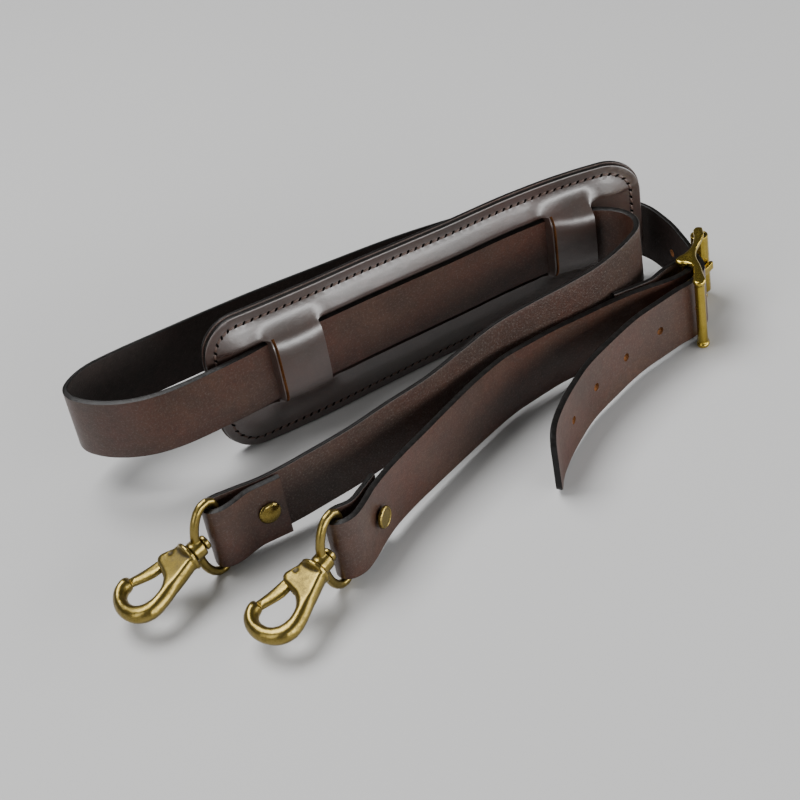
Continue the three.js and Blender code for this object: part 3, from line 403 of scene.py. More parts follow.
class StrapRoute:
    """The smooth route of a strap's middle, with its frame at any distance."""

    FINE = 40

    def __init__(self, rows):
        self.rows = rows
        self.points = [Vector((row.x, row.y, row.z + STRAP_WIDTH / 2)) for row in rows]
        count = (len(rows) - 1) * self.FINE
        self.places = [k / self.FINE for k in range(count + 1)]
        self.lengths = [0.0]
        here = self.points[0]
        for place in self.places[1:]:
            there = span(self.points, place)[0]
            self.lengths.append(self.lengths[-1] + (there - here).length)
            here = there

    def at(self, name, distance=0.0):
        """Distance along the strap of a named row, moved by some millimetres."""
        index = next(i for i, row in enumerate(self.rows) if row.at == name)
        return self.lengths[index * self.FINE] + distance

    def matrix(self, distance):
        """Maps depth, nothing and height across the strap to the frame, in metres."""
        i = min(max(bisect.bisect(self.lengths, distance) - 1, 0), len(self.lengths) - 2)
        share = (distance - self.lengths[i]) / (self.lengths[i + 1] - self.lengths[i])
        place = mix(self.places[i], self.places[i + 1], share)
        point, along = span(self.points, place)
        along.normalize()
        row = min(int(place), len(self.rows) - 2)
        lean = math.radians(mix(self.rows[row].lean, self.rows[row + 1].lean, place - row))
        up = (Vector((0, 0, 1)) - along * along.z).normalized()
        side = along.cross(up)
        leaned_up = up * math.cos(lean) + side * math.sin(lean)
        leaned_side = side * math.cos(lean) - up * math.sin(lean)
        turn = Matrix((leaned_side, along, leaned_up)).transposed().to_4x4()
        return Matrix.Translation((point + SHIFT) * MM) @ turn


def pad_stretch():
    """The long strap's rows against the pad, between the two bridges."""
    rows = []
    for x in range(PAD_STRAP_FROM, PAD_STRAP_TO, -PAD_STRAP_STEP):
        middle = PAD.place(x, PAD_STRAP_Z + STRAP_WIDTH / 2, PAD_STRAP_GAP + STRAP_THICK / 2)
        rows.append(Row("on the pad", middle.x, middle.y, PAD_STRAP_Z, -PAD.frame(x)[2]))
    return rows


LONG_ROUTE = StrapRoute(LONG_START + pad_stretch() + LONG_END)
SHORT_ROUTE = StrapRoute(SHORT_ROWS)


def node(tree, kind, inputs=None, **settings):
    """Adds a node with its settings; an input is a value or another node's output."""
    made = tree.nodes.new(kind)
    for name, value in settings.items():
        setattr(made, name, value)
    for socket, value in (inputs or {}).items():
        if isinstance(value, bpy.types.NodeSocket):
            tree.links.new(value, made.inputs[socket])
        else:
            made.inputs[socket].default_value = value
    return made


def new_material(name, **sockets):
    """A material with a bare Principled shader, whose even values sit on its own sockets."""
    material = bpy.data.materials.new(name)
    material.use_nodes = True
    tree = material.node_tree
    tree.nodes.clear()
    shader = node(tree, "ShaderNodeBsdfPrincipled", {k.replace("_", " "): v for k, v in sockets.items()})
    node(tree, "ShaderNodeOutputMaterial", {"Surface": shader.outputs[0]})
    return material, tree, shader


def noise(tree, place, size_mm, detail=4.0, rough=0.55):
    """Noise whose lumps are about a size in millimetres."""
    settings = {"Vector": place, "Scale": 1 / (size_mm * MM), "Detail": detail, "Roughness": rough}
    return node(tree, "ShaderNodeTexNoise", settings).outputs["Fac"]


def steps(tree, value, *stops):
    """A value remapped through stops of place and grey."""
    ramp = node(tree, "ShaderNodeValToRGB", {"Fac": value})
    elements = ramp.color_ramp.elements
    while len(elements) < len(stops):
        elements.new(0.5)
    for element, (place, grey) in zip(elements, stops):
        element.position = place
        element.color = (grey, grey, grey, 1)
    return ramp.outputs["Color"]


def blend(tree, share, a, b):
    """Two colours mixed by a share; a colour is three numbers or an output."""
    colours = [c if isinstance(c, bpy.types.NodeSocket) else (*c[:3], 1) for c in (a, b)]
    made = node(tree, "ShaderNodeMix", {0: share, 6: colours[0], 7: colours[1]}, data_type="RGBA")
    return made.outputs[2]


def maths(tree, kind, a, b=0.0):
    return node(tree, "ShaderNodeMath", {0: a, 1: b}, operation=kind).outputs[0]


def bumps(tree, *layers):
    """Stacked bumps, each a height and its depth in millimetres."""
    normal = None
    for height, depth_mm in layers:
        inputs = {"Height": height, "Distance": depth_mm * MM}
        if normal:
            inputs["Normal"] = normal
        normal = node(tree, "ShaderNodeBump", inputs).outputs[0]
    return normal


def shade(colour, share):
    return tuple(channel * share for channel in colour[:3])


def leather_material(name, colour, pore_mm, bloom, rough, depth, coat, gloss=1.42):
    """Bridle leather, dyed and stuffed with wax: a broad soft shine, red depths and a pale bloom."""
    material, tree, shader = new_material(name, IOR=gloss, Coat_Weight=coat, Coat_Roughness=0.36)
    place = node(tree, "ShaderNodeUVMap", uv_map="lay").outputs[0]
    clouds = noise(tree, place, 16, 3)
    patches = noise(tree, place, 34, 3, 0.6)
    mottle = noise(tree, place, 2.6, 5, 0.6)
    wax = noise(tree, place, 0.8, 3, 0.7)
    pores = node(tree, "ShaderNodeTexVoronoi", {"Vector": place, "Scale": 1 / (pore_mm * MM)})
    red = (colour[0] * 1.3, colour[1] * 0.75, colour[2] * 0.6)
    base = blend(tree, steps(tree, clouds, (0.32, 0), (0.68, 1)), shade(colour, 0.7), shade(colour, 1.25))
    base = blend(tree, steps(tree, patches, (0.42, 0), (0.62, 0.7)), base, red)
    base = blend(tree, steps(tree, mottle, (0.36, 0), (0.72, 0.6)), base, shade(colour, 0.5))
    pale = [0.6 * channel + white for channel, white in zip(colour, (0.095, 0.085, 0.074))]
    base = blend(tree, steps(tree, wax, (0.52, 0), (0.76, bloom)), base, pale)
    tree.links.new(base, shader.inputs["Base Color"])
    roughness = blend(tree, mottle, (rough[0],) * 3, (rough[1],) * 3)
    tree.links.new(roughness, shader.inputs["Roughness"])
    pit = steps(tree, pores.outputs["Distance"], (0.0, 0), (0.42, 1))
    normal = bumps(tree, (clouds, 0.45), (mottle, 0.1), (pit, depth))
    tree.links.new(normal, shader.inputs["Normal"])
    return material


def edge_material(colour):
    """Inked edges rubbed with wax: nearly black, with a soft uneven shine."""
    material, tree, shader = new_material("burnished_edge", IOR=1.3)
    place = node(tree, "ShaderNodeTexCoord").outputs["Object"]
    rub = noise(tree, place, 1.6, 4, 0.6)
    base = blend(tree, steps(tree, rub, (0.4, 0), (0.75, 1)), shade(colour, 0.6), shade(colour, 2.2))
    tree.links.new(base, shader.inputs["Base Color"])
    tree.links.new(blend(tree, rub, (0.3,) * 3, (0.5,) * 3), shader.inputs["Roughness"])
    tree.links.new(bumps(tree, (rub, 0.12)), shader.inputs["Normal"])
    return material


def raw_material(colour):
    """The undyed core where a knife or punch went through: dry, fibrous, tan."""
    material, tree, shader = new_material("raw_cut", IOR=1.4)
    place = node(tree, "ShaderNodeTexCoord").outputs["Object"]
    fibres = noise(tree, place, 0.45, 3, 0.7)
    base = blend(tree, steps(tree, fibres, (0.35, 0), (0.7, 1)), shade(colour, 0.45), shade(colour, 1.25))
    tree.links.new(base, shader.inputs["Base Color"])
    tree.links.new(blend(tree, fibres, (0.75,) * 3, (0.95,) * 3), shader.inputs["Roughness"])
    tree.links.new(bumps(tree, (fibres, 0.12)), shader.inputs["Normal"])
    return material


def thread_material(colour):
    """Waxed linen thread, twisted, so its shine is broken across the ply."""
    material, tree, shader = new_material("waxed_thread", IOR=1.45, Coat_Weight=0.3, Coat_Roughness=0.4)
    place = node(tree, "ShaderNodeTexCoord").outputs["Object"]
    twist = noise(tree, place, 0.35, 2, 0.6)
    base = blend(tree, twist, shade(colour, 0.55), shade(colour, 1.5))
    tree.links.new(base, shader.inputs["Base Color"])
    tree.links.new(blend(tree, twist, (0.42,) * 3, (0.7,) * 3), shader.inputs["Roughness"])
    tree.links.new(bumps(tree, (twist, 0.08)), shader.inputs["Normal"])
    return material


def brass_material(name, colour, patina, dark, rough):
    """Cast brass with a patina that was rubbed off the high places and stays in the hollows; the same mask
    also lays painted shade round the hooks' pins.
    """
    material, tree, shader = new_material(name)
    place = node(tree, "ShaderNodeTexCoord").outputs["Object"]
    hollow = node(tree, "ShaderNodeAttribute", attribute_name="hollow").outputs["Fac"]
    clouds = noise(tree, place, 5, 3, 0.6)
    speckle = noise(tree, place, 0.5, 3, 0.7)
    share = maths(tree, "ADD", hollow, maths(tree, "MULTIPLY", maths(tree, "SUBTRACT", clouds, 0.5), 0.6))
    share = maths(tree, "ADD", share, maths(tree, "MULTIPLY", maths(tree, "SUBTRACT", speckle, 0.5), 0.7))
    tarnish = steps(tree, share, (0.36, 0), (0.7, dark))
    rubbed = [min(channel * 1.35 + 0.03, 1) for channel in colour]
    base = blend(tree, tarnish, colour, patina)
    base = blend(tree, steps(tree, share, (0.15, 0.6), (0.4, 0)), base, rubbed)
    tree.links.new(base, shader.inputs["Base Color"])
    metallic = maths(tree, "SUBTRACT", 1.0, maths(tree, "MULTIPLY", tarnish, 0.55))
    tree.links.new(metallic, shader.inputs["Metallic"])
    tree.links.new(blend(tree, tarnish, (rough,) * 3, (rough + 0.28,) * 3), shader.inputs["Roughness"])
    tree.links.new(bumps(tree, (clouds, 0.06), (speckle, 0.015)), shader.inputs["Normal"])
    return material


class Finishes:
    """Every material, made once."""

    def __init__(self):
        leather = bpy.context.scene.neck_strap.leather
        metal = bpy.context.scene.neck_strap.metal
        grain, flesh = leather.grain, leather.flesh
        self.grain = leather_material("bridle_leather_grain", grain, 0.55, 0.6, (0.38, 0.54), 0.06, 0.35)
        self.flesh = leather_material("bridle_leather_flesh", flesh, 0.8, 0.95, (0.48, 0.64), 0.14, 0.3)
        # Painted shade: a darker, rougher copy of the flesh side, for the strap's flesh face inside the loop
        # and behind the pad where shade falls.
        self.painted_shade_flesh = leather_material("flesh_painted_shade", shade(flesh, 0.3), 0.8, 0.1, (0.6, 0.8), 0.1, 0.0)
        self.pad = leather_material("pad_leather", shade(grain, 0.62), 0.5, 0.3, (0.34, 0.46), 0.03, 1.0, 1.8)
        self.lining = leather_material("pad_lining", flesh, 0.7, 0.4, (0.5, 0.7), 0.08, 0.2)
        self.edge = edge_material(leather.burnish)
        self.raw = raw_material(leather.raw)
        self.thread = thread_material(leather.thread)
        self.antique = brass_material("antique_brass", metal.antique, metal.patina, 0.85, 0.3)
        self.rubbed = brass_material("rubbed_brass", metal.antique, metal.patina, 0.3, 0.24)
        self.bright = brass_material("buckle_brass", metal.bright, metal.patina, 0.5, 0.24)
        black = shade(metal.patina, 0.3)
        self.dark = brass_material("blackened_brass", shade(metal.patina, 0.8), black, 1.0, 0.42)


FINISHES = {}


def finishes():
    if not FINISHES:
        FINISHES["set"] = Finishes()
    return FINISHES["set"]


def add_object(name, mesh, materials, sharp_deg=40):
    """A finished mesh as an object at the origin, shaded smooth but for its sharp edges."""
    piece = bpy.data.objects.new(name, mesh)
    bpy.context.scene.collection.objects.link(piece)
    for material in materials:
        mesh.materials.append(material)
    mesh.polygons.foreach_set("use_smooth", [True] * len(mesh.polygons))
    mesh.set_sharp_from_angle(angle=math.radians(sharp_deg))
    return piece


def to_mesh(bm, name):
    mesh = bpy.data.meshes.new(name)
    bm.to_mesh(mesh)
    bm.free()
    return mesh


def bake_modifiers(piece):
    """Replaces the piece's mesh by what its modifiers make of it."""
    graph = bpy.context.evaluated_depsgraph_get()
    evaluated = piece.evaluated_get(graph)
    made = bpy.data.meshes.new_from_object(evaluated, preserve_all_data_layers=True, depsgraph=graph)
    piece.modifiers.clear()
    piece.data = made


def cut_with(piece, cutter_mesh, raw):
    """Cuts the piece by a mesh of closed shapes, whose material lines the cut."""
    cutter = bpy.data.objects.new("cutter", cutter_mesh)
    bpy.context.scene.collection.objects.link(cutter)
    cutter_mesh.materials.append(raw)
    cut = piece.modifiers.new("cut", "BOOLEAN")
    cut.object = cutter
    cut.operation = "DIFFERENCE"
    cut.solver = "EXACT"
    cut.material_mode = "TRANSFER"
    bake_modifiers(piece)
    bpy.data.objects.remove(cutter)


def strap_section(edge):
    """A strap's closed section, as depth and height across: flat faces, rounded edges."""
    half_depth, half_width = STRAP_THICK * MM / 2, STRAP_WIDTH * MM / 2
    across_steps, corner_steps = 12, 4
    section = []
    flat = half_width - edge
    for turn in range(2):
        way = 1 - 2 * turn
        for k in range(across_steps):
            section.append((way * half_depth, way * mix(-flat, flat, k / across_steps)))
        for k in range(corner_steps):
            angle = math.pi / 2 * k / corner_steps
            depth = half_depth - edge + edge * math.cos(angle)
            section.append((way * depth, way * (flat + edge * math.sin(angle))))
        section.append((way * (half_depth - edge), way * half_width))
    return section


def sweep_strap(name, route, end_corner=0.0, painted_shade_from=None, step_mm=1.1):
    """Grows the section along the route, with its flat lay kept as the uv map and its far corners round; from
    a given distance on, its flesh side takes a darker finish as painted shade.
    """
    edge = bpy.context.scene.neck_strap.leather.edge_radius
    length = route.lengths[-1] - end_corner
    count = int(length / step_mm)
    stations = [(length * k / count, 1.0) for k in range(count + 1)]
    corner_steps = 10 if end_corner else 0
    for k in range(1, corner_steps + 1):
        angle = math.pi / 2 * k / corner_steps
        share = 1 - end_corner * (1 - math.cos(angle)) / (STRAP_WIDTH / 2)
        stations.append((length + end_corner * math.sin(angle), share))
    bm = bmesh.new()
    along = bm.verts.layers.float.new("along")
    depth = bm.verts.layers.float.new("depth")
    across = bm.verts.layers.float.new("across")
    ring = []
    for d, a in strap_section(edge):
        vert = bm.verts.new((0, 0, 0))
        vert[depth] = d
        vert[across] = a
        ring.append(vert)
    edges = [bm.edges.new((a, b)) for a, b in zip(ring, ring[1:] + ring[:1])]
    for k, (distance, share) in enumerate(stations):
        if k:
            grown = bmesh.ops.extrude_edge_only(bm, edges=edges)["geom"]
            ring = [g for g in grown if isinstance(g, bmesh.types.BMVert)]
            edges = [g for g in grown if isinstance(g, bmesh.types.BMEdge)]
        matrix = route.matrix(distance)
        for vert in ring:
            vert.co = matrix @ Vector((vert[depth], 0, vert[across] * share))
            vert[along] = distance * MM
        if k in (0, len(stations) - 1):
            bmesh.ops.contextual_create(bm, geom=edges)
    bmesh.ops.recalc_face_normals(bm, faces=bm.faces)
    uv = bm.loops.layers.uv.new("lay")
    rim = STRAP_WIDTH * MM / 2 - 0.75 * edge
    for face in bm.faces:
        height = sum(v[across] for v in face.verts) / len(face.verts)
        depths = [v[depth] for v in face.verts]
        is_end = len(face.verts) > 4
        on_edge = is_end or abs(height) > rim
        face.material_index = CUT_EDGE if on_edge else (FLESH_SIDE if sum(depths) > 0 else GRAIN_SIDE)
        # From the given distance on, the flesh side takes its darker copy: painted shade inside the loop and
        # behind the pad.
        if face.material_index == FLESH_SIDE and painted_shade_from and face.verts[0][along] > painted_shade_from * MM:
            face.material_index = PAINTED_SHADE_FLESH
        for loop in face.loops:
            vert = loop.vert
            u = vert[along] + (vert[depth] if is_end else 0)
            loop[uv].uv = (u, vert[across] + (vert[depth] if on_edge else 0))
    return to_mesh(bm, name)


def rod_cutter(bm, start, end, radius, sides=28):
    """Adds a closed rod from one point to another."""
    axis = end - start
    turn = axis.to_track_quat("Z", "Y").to_matrix().to_4x4()
    place = Matrix.Translation((start + end) / 2) @ turn
    bmesh.ops.create_cone(bm, cap_ends=True, segments=sides, radius1=radius, radius2=radius,
                          depth=axis.length, matrix=place)


def punch(bm, matrix, radius):
    """A round cutter square through a strap at its place."""
    reach = STRAP_THICK * MM * 2
    rod_cutter(bm, matrix @ Vector((-reach, 0, 0)), matrix @ Vector((reach, 0, 0)), radius)


def fastened_axis(route, near_name, far_name):
    """Where a fastener goes through two layers, square to the near one, and the layers' spacing."""
    near, far = [route.matrix(route.at(name)) for name in (near_name, far_name)]
    between = near.translation - far.translation
    axis = near.col[0].to_3d()
    axis *= math.copysign(1, axis.dot(between))
    return near.translation, axis, between.dot(axis)


def shank_cutter(bm, route, near_name, far_name):
    point, axis, spacing = fastened_axis(route, near_name, far_name)
    reach = STRAP_THICK * MM
    rod_cutter(bm, point - axis * (spacing + reach), point + axis * reach, SHANK_RADIUS * MM)


def tongue_line():
    """The tongue's middle line, from the buckle's middle bar to the roller, in the frame."""
    low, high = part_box("buckle_tongue")
    height = Vector((0, 0, (low.z + high.z) / 2))
    return [(end + SHIFT) * MM + height for end in (TONGUE_ROOT, TONGUE_TIP)]


def long_strap_holes(radius):
    """The row of punched holes, the tongue's own and the rivet's."""
    holes = bmesh.new()
    for k in range(-HOLES_BEFORE_TONGUE, HOLES_AFTER_TONGUE + 1):
        if k:
            place = LONG_ROUTE.at("tongue hole", k * HOLE_PITCH - HOLES_BACK)
            punch(holes, LONG_ROUTE.matrix(place), radius)
    root, tip = tongue_line()
    start, end = [root.lerp(tip, share) for share in (TONGUE_HOLE_FROM, TONGUE_HOLE_TO)]
    rod_cutter(holes, start, end, TONGUE_HOLE_RADIUS * MM)
    shank_cutter(holes, LONG_ROUTE, "rivet", "rivet again")
    return to_mesh(holes, "holes")


def short_strap_holes():
    """The holes for the stud and the buckle's rivet, and the slot that the tongue comes out of."""
    holes = bmesh.new()
    shank_cutter(holes, SHORT_ROUTE, "stud", "stud again")
    shank_cutter(holes, SHORT_ROUTE, "buckle rivet again", "buckle rivet")
    middle = tongue_line()[0] + Vector((TONGUE_SLOT_OFFSET * MM, 0, 0))
    slot = Matrix.Translation(middle) @ Matrix.Diagonal((*(TONGUE_SLOT * MM), 1))
    bmesh.ops.create_cube(holes, size=1, matrix=slot)
    return to_mesh(holes, "holes")


class STRAP_OT_straps(bpy.types.Operator):
    """Sweeps both straps along their routes and punches their holes"""

    bl_idname = "neck_strap.straps"
    bl_label = "Straps"

    def execute(self, context):
        made = finishes()
        materials = [made.grain, made.flesh, made.edge, made.painted_shade_flesh]
        # From where the long strap leaves the pad, its flesh side is painted darker: painted shade in the
        # loop and behind the pad.
        swept = sweep_strap("long_strap_leather", LONG_ROUTE, TAIL_CORNER, LONG_ROUTE.at("off the pad"))
        long_strap = add_object("long_strap_leather", swept, materials)
        cut_with(long_strap, long_strap_holes(context.scene.neck_strap.leather.hole_radius), made.raw)
        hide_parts("long_strap")
        swept = sweep_strap("short_strap_leather", SHORT_ROUTE)
        short_strap = add_object("short_strap_leather", swept, materials)
        cut_with(short_strap, short_strap_holes(), made.raw)
        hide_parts("short_strap")
        for piece in (long_strap, short_strap):
            piece.data.set_sharp_from_angle(angle=math.radians(40))
            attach(piece, "strap")
        return {"FINISHED"}


def flat_ply(margin, thick, foot, rim_round):
    """An upright slab with round corners and eased rims; its front lies at y = 0, in metres."""
    left, right = (PAD_LEFT - margin) * MM, (PAD_RIGHT + margin) * MM
    low, high = foot * MM, (PAD_HEIGHT + margin) * MM
    bm = bmesh.new()
    size = Matrix.Diagonal((right - left, thick * MM, high - low, 1))
    middle = Matrix.Translation(((left + right) / 2, thick * MM / 2, (low + high) / 2))
    bmesh.ops.create_cube(bm, size=1, matrix=middle @ size)
    corners = [e for e in bm.edges if abs(e.verts[0].co.y - e.verts[1].co.y) > thick * MM / 2]
    bmesh.ops.bevel(bm, geom=corners, offset=PAD_CORNER * MM, segments=18, profile=0.5, affect="EDGES",
                    clamp_overlap=True, material=-1)
    rims = [e for e in bm.edges if len({abs(face.normal.y) > 0.5 for face in e.link_faces}) == 2]
    bmesh.ops.bevel(bm, geom=rims, offset=rim_round * MM, segments=3, profile=0.5, affect="EDGES",
                    clamp_overlap=False, material=-1)
    return bm


def slice_all(bm, places, normal):
    """Cuts a mesh across at each place along one axis."""
    for place in places:
        geometry = [*bm.verts, *bm.edges, *bm.faces]
        bmesh.ops.bisect_plane(bm, geom=geometry, dist=1e-7, plane_co=Vector(normal) * place, plane_no=normal)


def grid_places(low, high, step, extra=()):
    """Even places between two ends, and closer ones where they are asked for."""
    count = int((high - low) / step)
    places = [low + (high - low) * (k + 0.5) / count for k in range(count)]
    kept = [place for place in places if all(abs(place - own) > step / 3 for own in extra)]
    return [place * MM for place in sorted([*kept, *extra])]


def slit_cutters(bm):
    """The four slits: thin upright blades, the left ones slanted so that their cut shows."""
    skive = math.radians(SLIT_SKIVE)
    shift = FACE_THICK * math.tan(skive)
    middle = (SLIT_LOW + SLIT_HIGH) / 2
    size = Matrix.Diagonal((SLIT_WIDTH * MM, 3 * FACE_THICK * MM, (SLIT_HIGH - SLIT_LOW) * MM, 1))
    for bridge in BRIDGES:
        left, right = bridge.left - SLIT_WIDTH / 2 + shift, bridge.right + SLIT_WIDTH / 2
        for x, turn in ((left, skive), (right, 0.0)):
            blade = Matrix.Rotation(turn, 4, "Z") @ size
            bmesh.ops.create_cube(bm, size=1, matrix=Matrix.Translation(Vector((x, 0, middle)) * MM) @ blade)


def seam_points(inset, pitch):
    """Even places along the seam, each with its direction, in millimetres on the flat pad."""
    left, right, low, high = PAD_LEFT + inset, PAD_RIGHT - inset, inset, PAD_HEIGHT - inset
    radius = PAD_CORNER - inset
    sides = [((left + radius, low), (1, 0), right - left - 2 * radius),
             ((right, low + radius), (0, 1), high - low - 2 * radius),
             ((right - radius, high), (-1, 0), right - left - 2 * radius),
             ((left, high - radius), (0, -1), high - low - 2 * radius)]
    quarter = radius * math.pi / 2
    length = sum(side[2] + quarter for side in sides)
    count = round(length / pitch)
    made = []
    for k in range(count):
        rest = length * k / count
        for (x, z), (dx, dz), run in sides:
            if rest <= run:
                made.append((x + dx * rest, z + dz * rest, math.atan2(dz, dx)))
                break
            rest -= run
            if rest <= quarter:
                turn = rest / radius
                centre_x, centre_z = x + dx * run - dz * radius, z + dz * run + dx * radius
                heading = math.atan2(dz, dx) + turn
                place = (centre_x + radius * math.sin(heading), centre_z - radius * math.cos(heading))
                made.append((*place, heading))
                break
            rest -= quarter
    return made


def bend_ply(mesh, front, has_bridges):
    """Moves a flat ply, or what is sewn on it, to its place; the front one swells inside its seam."""
    crown, pinch, seam_width, shoulder = 0.3, 0.3, 4.0, 2.0
    for vert in mesh.vertices:
        x, y, z = [value / MM for value in vert.co]
        inside = rim_distance(x, z)
        puff = crown * smooth((inside - seam_width) / 7) - pinch * (1 - smooth((inside - seam_width) / 3))
        off_strap = max(PAD_STRAP_Z - z, z - PAD_STRAP_Z - STRAP_WIDTH)
        off_bridge = min(max(bridge.left - x, x - bridge.right) for bridge in BRIDGES)
        slope = min(max((inside - seam_width + 0.6) / 8.5, 0), 1)
        puff += shoulder * slope * smooth((off_strap - 0.2) / 1.3) * smooth((off_bridge + 1) / 9)
        rise = max(bridge_rise(x, z), 0) + puff if has_bridges else 0
        vert.co = (PAD.place(x, z, front - y + rise) + SHIFT) * MM
        if not has_bridges:
            vert.co.z = max(vert.co.z, 0)


def lay_uv(bm):
    """The uv map of a flat ply is its own place in metres, so that the grain follows the leather."""
    uv = bm.loops.layers.uv.new("lay")
    for face in bm.faces:
        for loop in face.loops:
            co = loop.vert.co
            loop[uv].uv = (co.x, co.z + co.y)


def mark_faces(bm):
    """Front and back faces take the first two finishes, and the cut rim the third."""
    for face in bm.faces:
        if abs(face.normal.y) > 0.7:
            face.material_index = 0 if face.normal.y < 0 else 1
        else:
            face.material_index = 2


def stitch_shapes(bm, points, y, half_length, width, height, slant):
    """Small rounded bars laid along the seam, each turned by the pricking iron's slant in degrees."""
    for x, z, heading in points:
        turn = Matrix.Rotation(-(heading + math.radians(slant)), 4, "Y")
        size = Matrix.Diagonal((half_length * MM, height * MM, width * MM, 1))
        bmesh.ops.create_uvsphere(bm, u_segments=10, v_segments=7, radius=1,
                                  matrix=Matrix.Translation((x * MM, y * MM, z * MM)) @ turn @ size)


class STRAP_OT_pad(bpy.types.Operator):
    """Makes the pad's two plies, with slits, bridges and pricked seam"""

    bl_idname = "neck_strap.pad"
    bl_label = "Shoulder pad"

    def execute(self, context):
        made = finishes()
        leather = context.scene.neck_strap.leather
        seam = seam_points(leather.seam_inset / MM, leather.stitch_pitch / MM)
        near_slits = []
        for bridge in BRIDGES:
            for offset in (-4, -2.5, -1.2, 0.2, 1.2, 2.5):
                near_slits += [bridge.left + offset, bridge.right - offset]
        near_ends = []
        for offset in (-5, -4, -3, -2, -1.2, -0.5, 0.3, 0.8, 1.3, 1.9, 2.6, 3.5):
            near_ends += [SLIT_LOW + offset, SLIT_HIGH - offset]
        face_bm = flat_ply(0, FACE_THICK, FACE_FOOT, FACE_RIM)
        slice_all(face_bm, grid_places(PAD_LEFT, PAD_RIGHT, 1.8, near_slits), (1, 0, 0))
        slice_all(face_bm, grid_places(FACE_FOOT, PAD_HEIGHT, 1.8, near_ends), (0, 0, 1))
        mark_faces(face_bm)
        lay_uv(face_bm)
        face_mesh = to_mesh(face_bm, "pad_face_leather")
        face = add_object("pad_face_leather", face_mesh, [made.pad, made.flesh, made.edge])
        slits = bmesh.new()
        slit_cutters(slits)
        cut_with(face, to_mesh(slits, "slits"), made.raw)
        pricks = bmesh.new()
        stitch_shapes(pricks, seam, 0, PRICK_LENGTH, PRICK_WIDTH, PRICK_DEPTH, PRICK_SLANT)
        # The pricks are lined with the near-black edge finish rather than the raw core: painted shade that
        # makes the holes show dark.
        cut_with(face, to_mesh(pricks, "pricks"), made.edge)
        bend_ply(face.data, 0, True)
        face.data.set_sharp_from_angle(angle=math.radians(35))
        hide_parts("pad_face")
        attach(face, "strap")
        back_front = -FACE_THICK - PLY_GAP
        back_bm = flat_ply(BACKING_MARGIN, BACKING_THICK, 0, BACKING_RIM)
        slice_all(back_bm, grid_places(PAD_LEFT, PAD_RIGHT, 2.5), (1, 0, 0))
        slice_all(back_bm, grid_places(0, PAD_HEIGHT, 3.5), (0, 0, 1))
        mark_faces(back_bm)
        lay_uv(back_bm)
        back_mesh = to_mesh(back_bm, "pad_backing_leather")
        backing = add_object("pad_backing_leather", back_mesh, [made.flesh, made.lining, made.edge])
        bend_ply(backing.data, back_front, False)
        backing.data.set_sharp_from_angle(angle=math.radians(35))
        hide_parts("pad_backing")
        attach(backing, "strap")
        return {"FINISHED"}


class STRAP_OT_stitching(bpy.types.Operator):
    """Sews the pad's two plies together, stitch by stitch, front and back"""

    bl_idname = "neck_strap.stitching"
    bl_label = "Stitching"

    def execute(self, context):
        leather = context.scene.neck_strap.leather
        seam = seam_points(leather.seam_inset / MM, leather.stitch_pitch / MM)
        pitch = leather.stitch_pitch / MM
        between = [(x + math.cos(h) * pitch / 2, z + math.sin(h) * pitch / 2, h) for x, z, h in seam]
        bm = bmesh.new()
        stitch_shapes(bm, between, 0, STITCH_LENGTH, STITCH_WIDTH, STITCH_HEIGHT, STITCH_SLANT)
        front = add_object("stitching_front", to_mesh(bm, "stitching_front"), [finishes().thread])
        bend_ply(front.data, 0, True)
        bm = bmesh.new()
        stitch_shapes(bm, between, BACKING_THICK, STITCH_LENGTH, BACK_STITCH_WIDTH, BACK_STITCH_HEIGHT,
                      BACK_STITCH_SLANT)
        back = add_object("stitching_back", to_mesh(bm, "stitching_back"), [finishes().thread])
        bend_ply(back.data, -FACE_THICK - PLY_GAP, False)
        for piece in (front, back):
            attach(piece, "strap")
        return {"FINISHED"}


def vertex_array(mesh, name):
    """Every vertex's place or normal, as rows of three."""
    values = np.zeros(len(mesh.vertices) * 3)
    mesh.vertices.foreach_get(name, values)
    return values.reshape(-1, 3)


def hollow_attribute(mesh, painted_shade_rod=None):
    """Stores how hollow each point is, from 0 on edges to 1 in recesses; inside a given rod it is set to 1 as
    painted shade.
    """
    flat, gain, spread = 0.42, 6, 5
    count = len(mesh.vertices)
    places, normals = vertex_array(mesh, "co"), vertex_array(mesh, "normal")
    ends = np.zeros(len(mesh.edges) * 2, dtype=np.int32)
    mesh.edges.foreach_get("vertices", ends)
    a, b = ends.reshape(-1, 2).T
    step = places[b] - places[a]
    step /= np.maximum(np.linalg.norm(step, axis=1, keepdims=True), 1e-9)
    value = np.zeros(count)
    valence = np.maximum(np.bincount(ends, minlength=count), 1)
    np.add.at(value, a, (normals[a] * step).sum(1))
    np.add.at(value, b, -(normals[b] * step).sum(1))
    value /= valence
    for _ in range(spread):
        total = value.copy()
        np.add.at(total, a, value[b])
        np.add.at(total, b, value[a])
        value = total / (valence + 1)
    hollow = np.clip(flat + value * gain, 0, 1)
    # Painted shade: all within the rod round the hook's pin is made fully hollow, so it takes the darkest
    # patina.
    if painted_shade_rod:
        point, axis, radius = painted_shade_rod
        off = places - np.array(point)
        off -= np.outer(off @ np.array(axis), np.array(axis))
        hollow[np.linalg.norm(off, axis=1) < radius] = 1.0
    attribute = mesh.attributes.new("hollow", "FLOAT", "POINT")
    attribute.data.foreach_set("value", hollow.astype(np.float32))


def remesh_cast(piece, voxel, rounds):
    """Gives a piece one even skin with soft edges."""
    remesh = piece.modifiers.new("cast", "REMESH")
    remesh.mode = "VOXEL"
    remesh.voxel_size = voxel
    fair = piece.modifiers.new("tumble", "SMOOTH")
    fair.factor = 0.5
    fair.iterations = rounds
    bake_modifiers(piece)


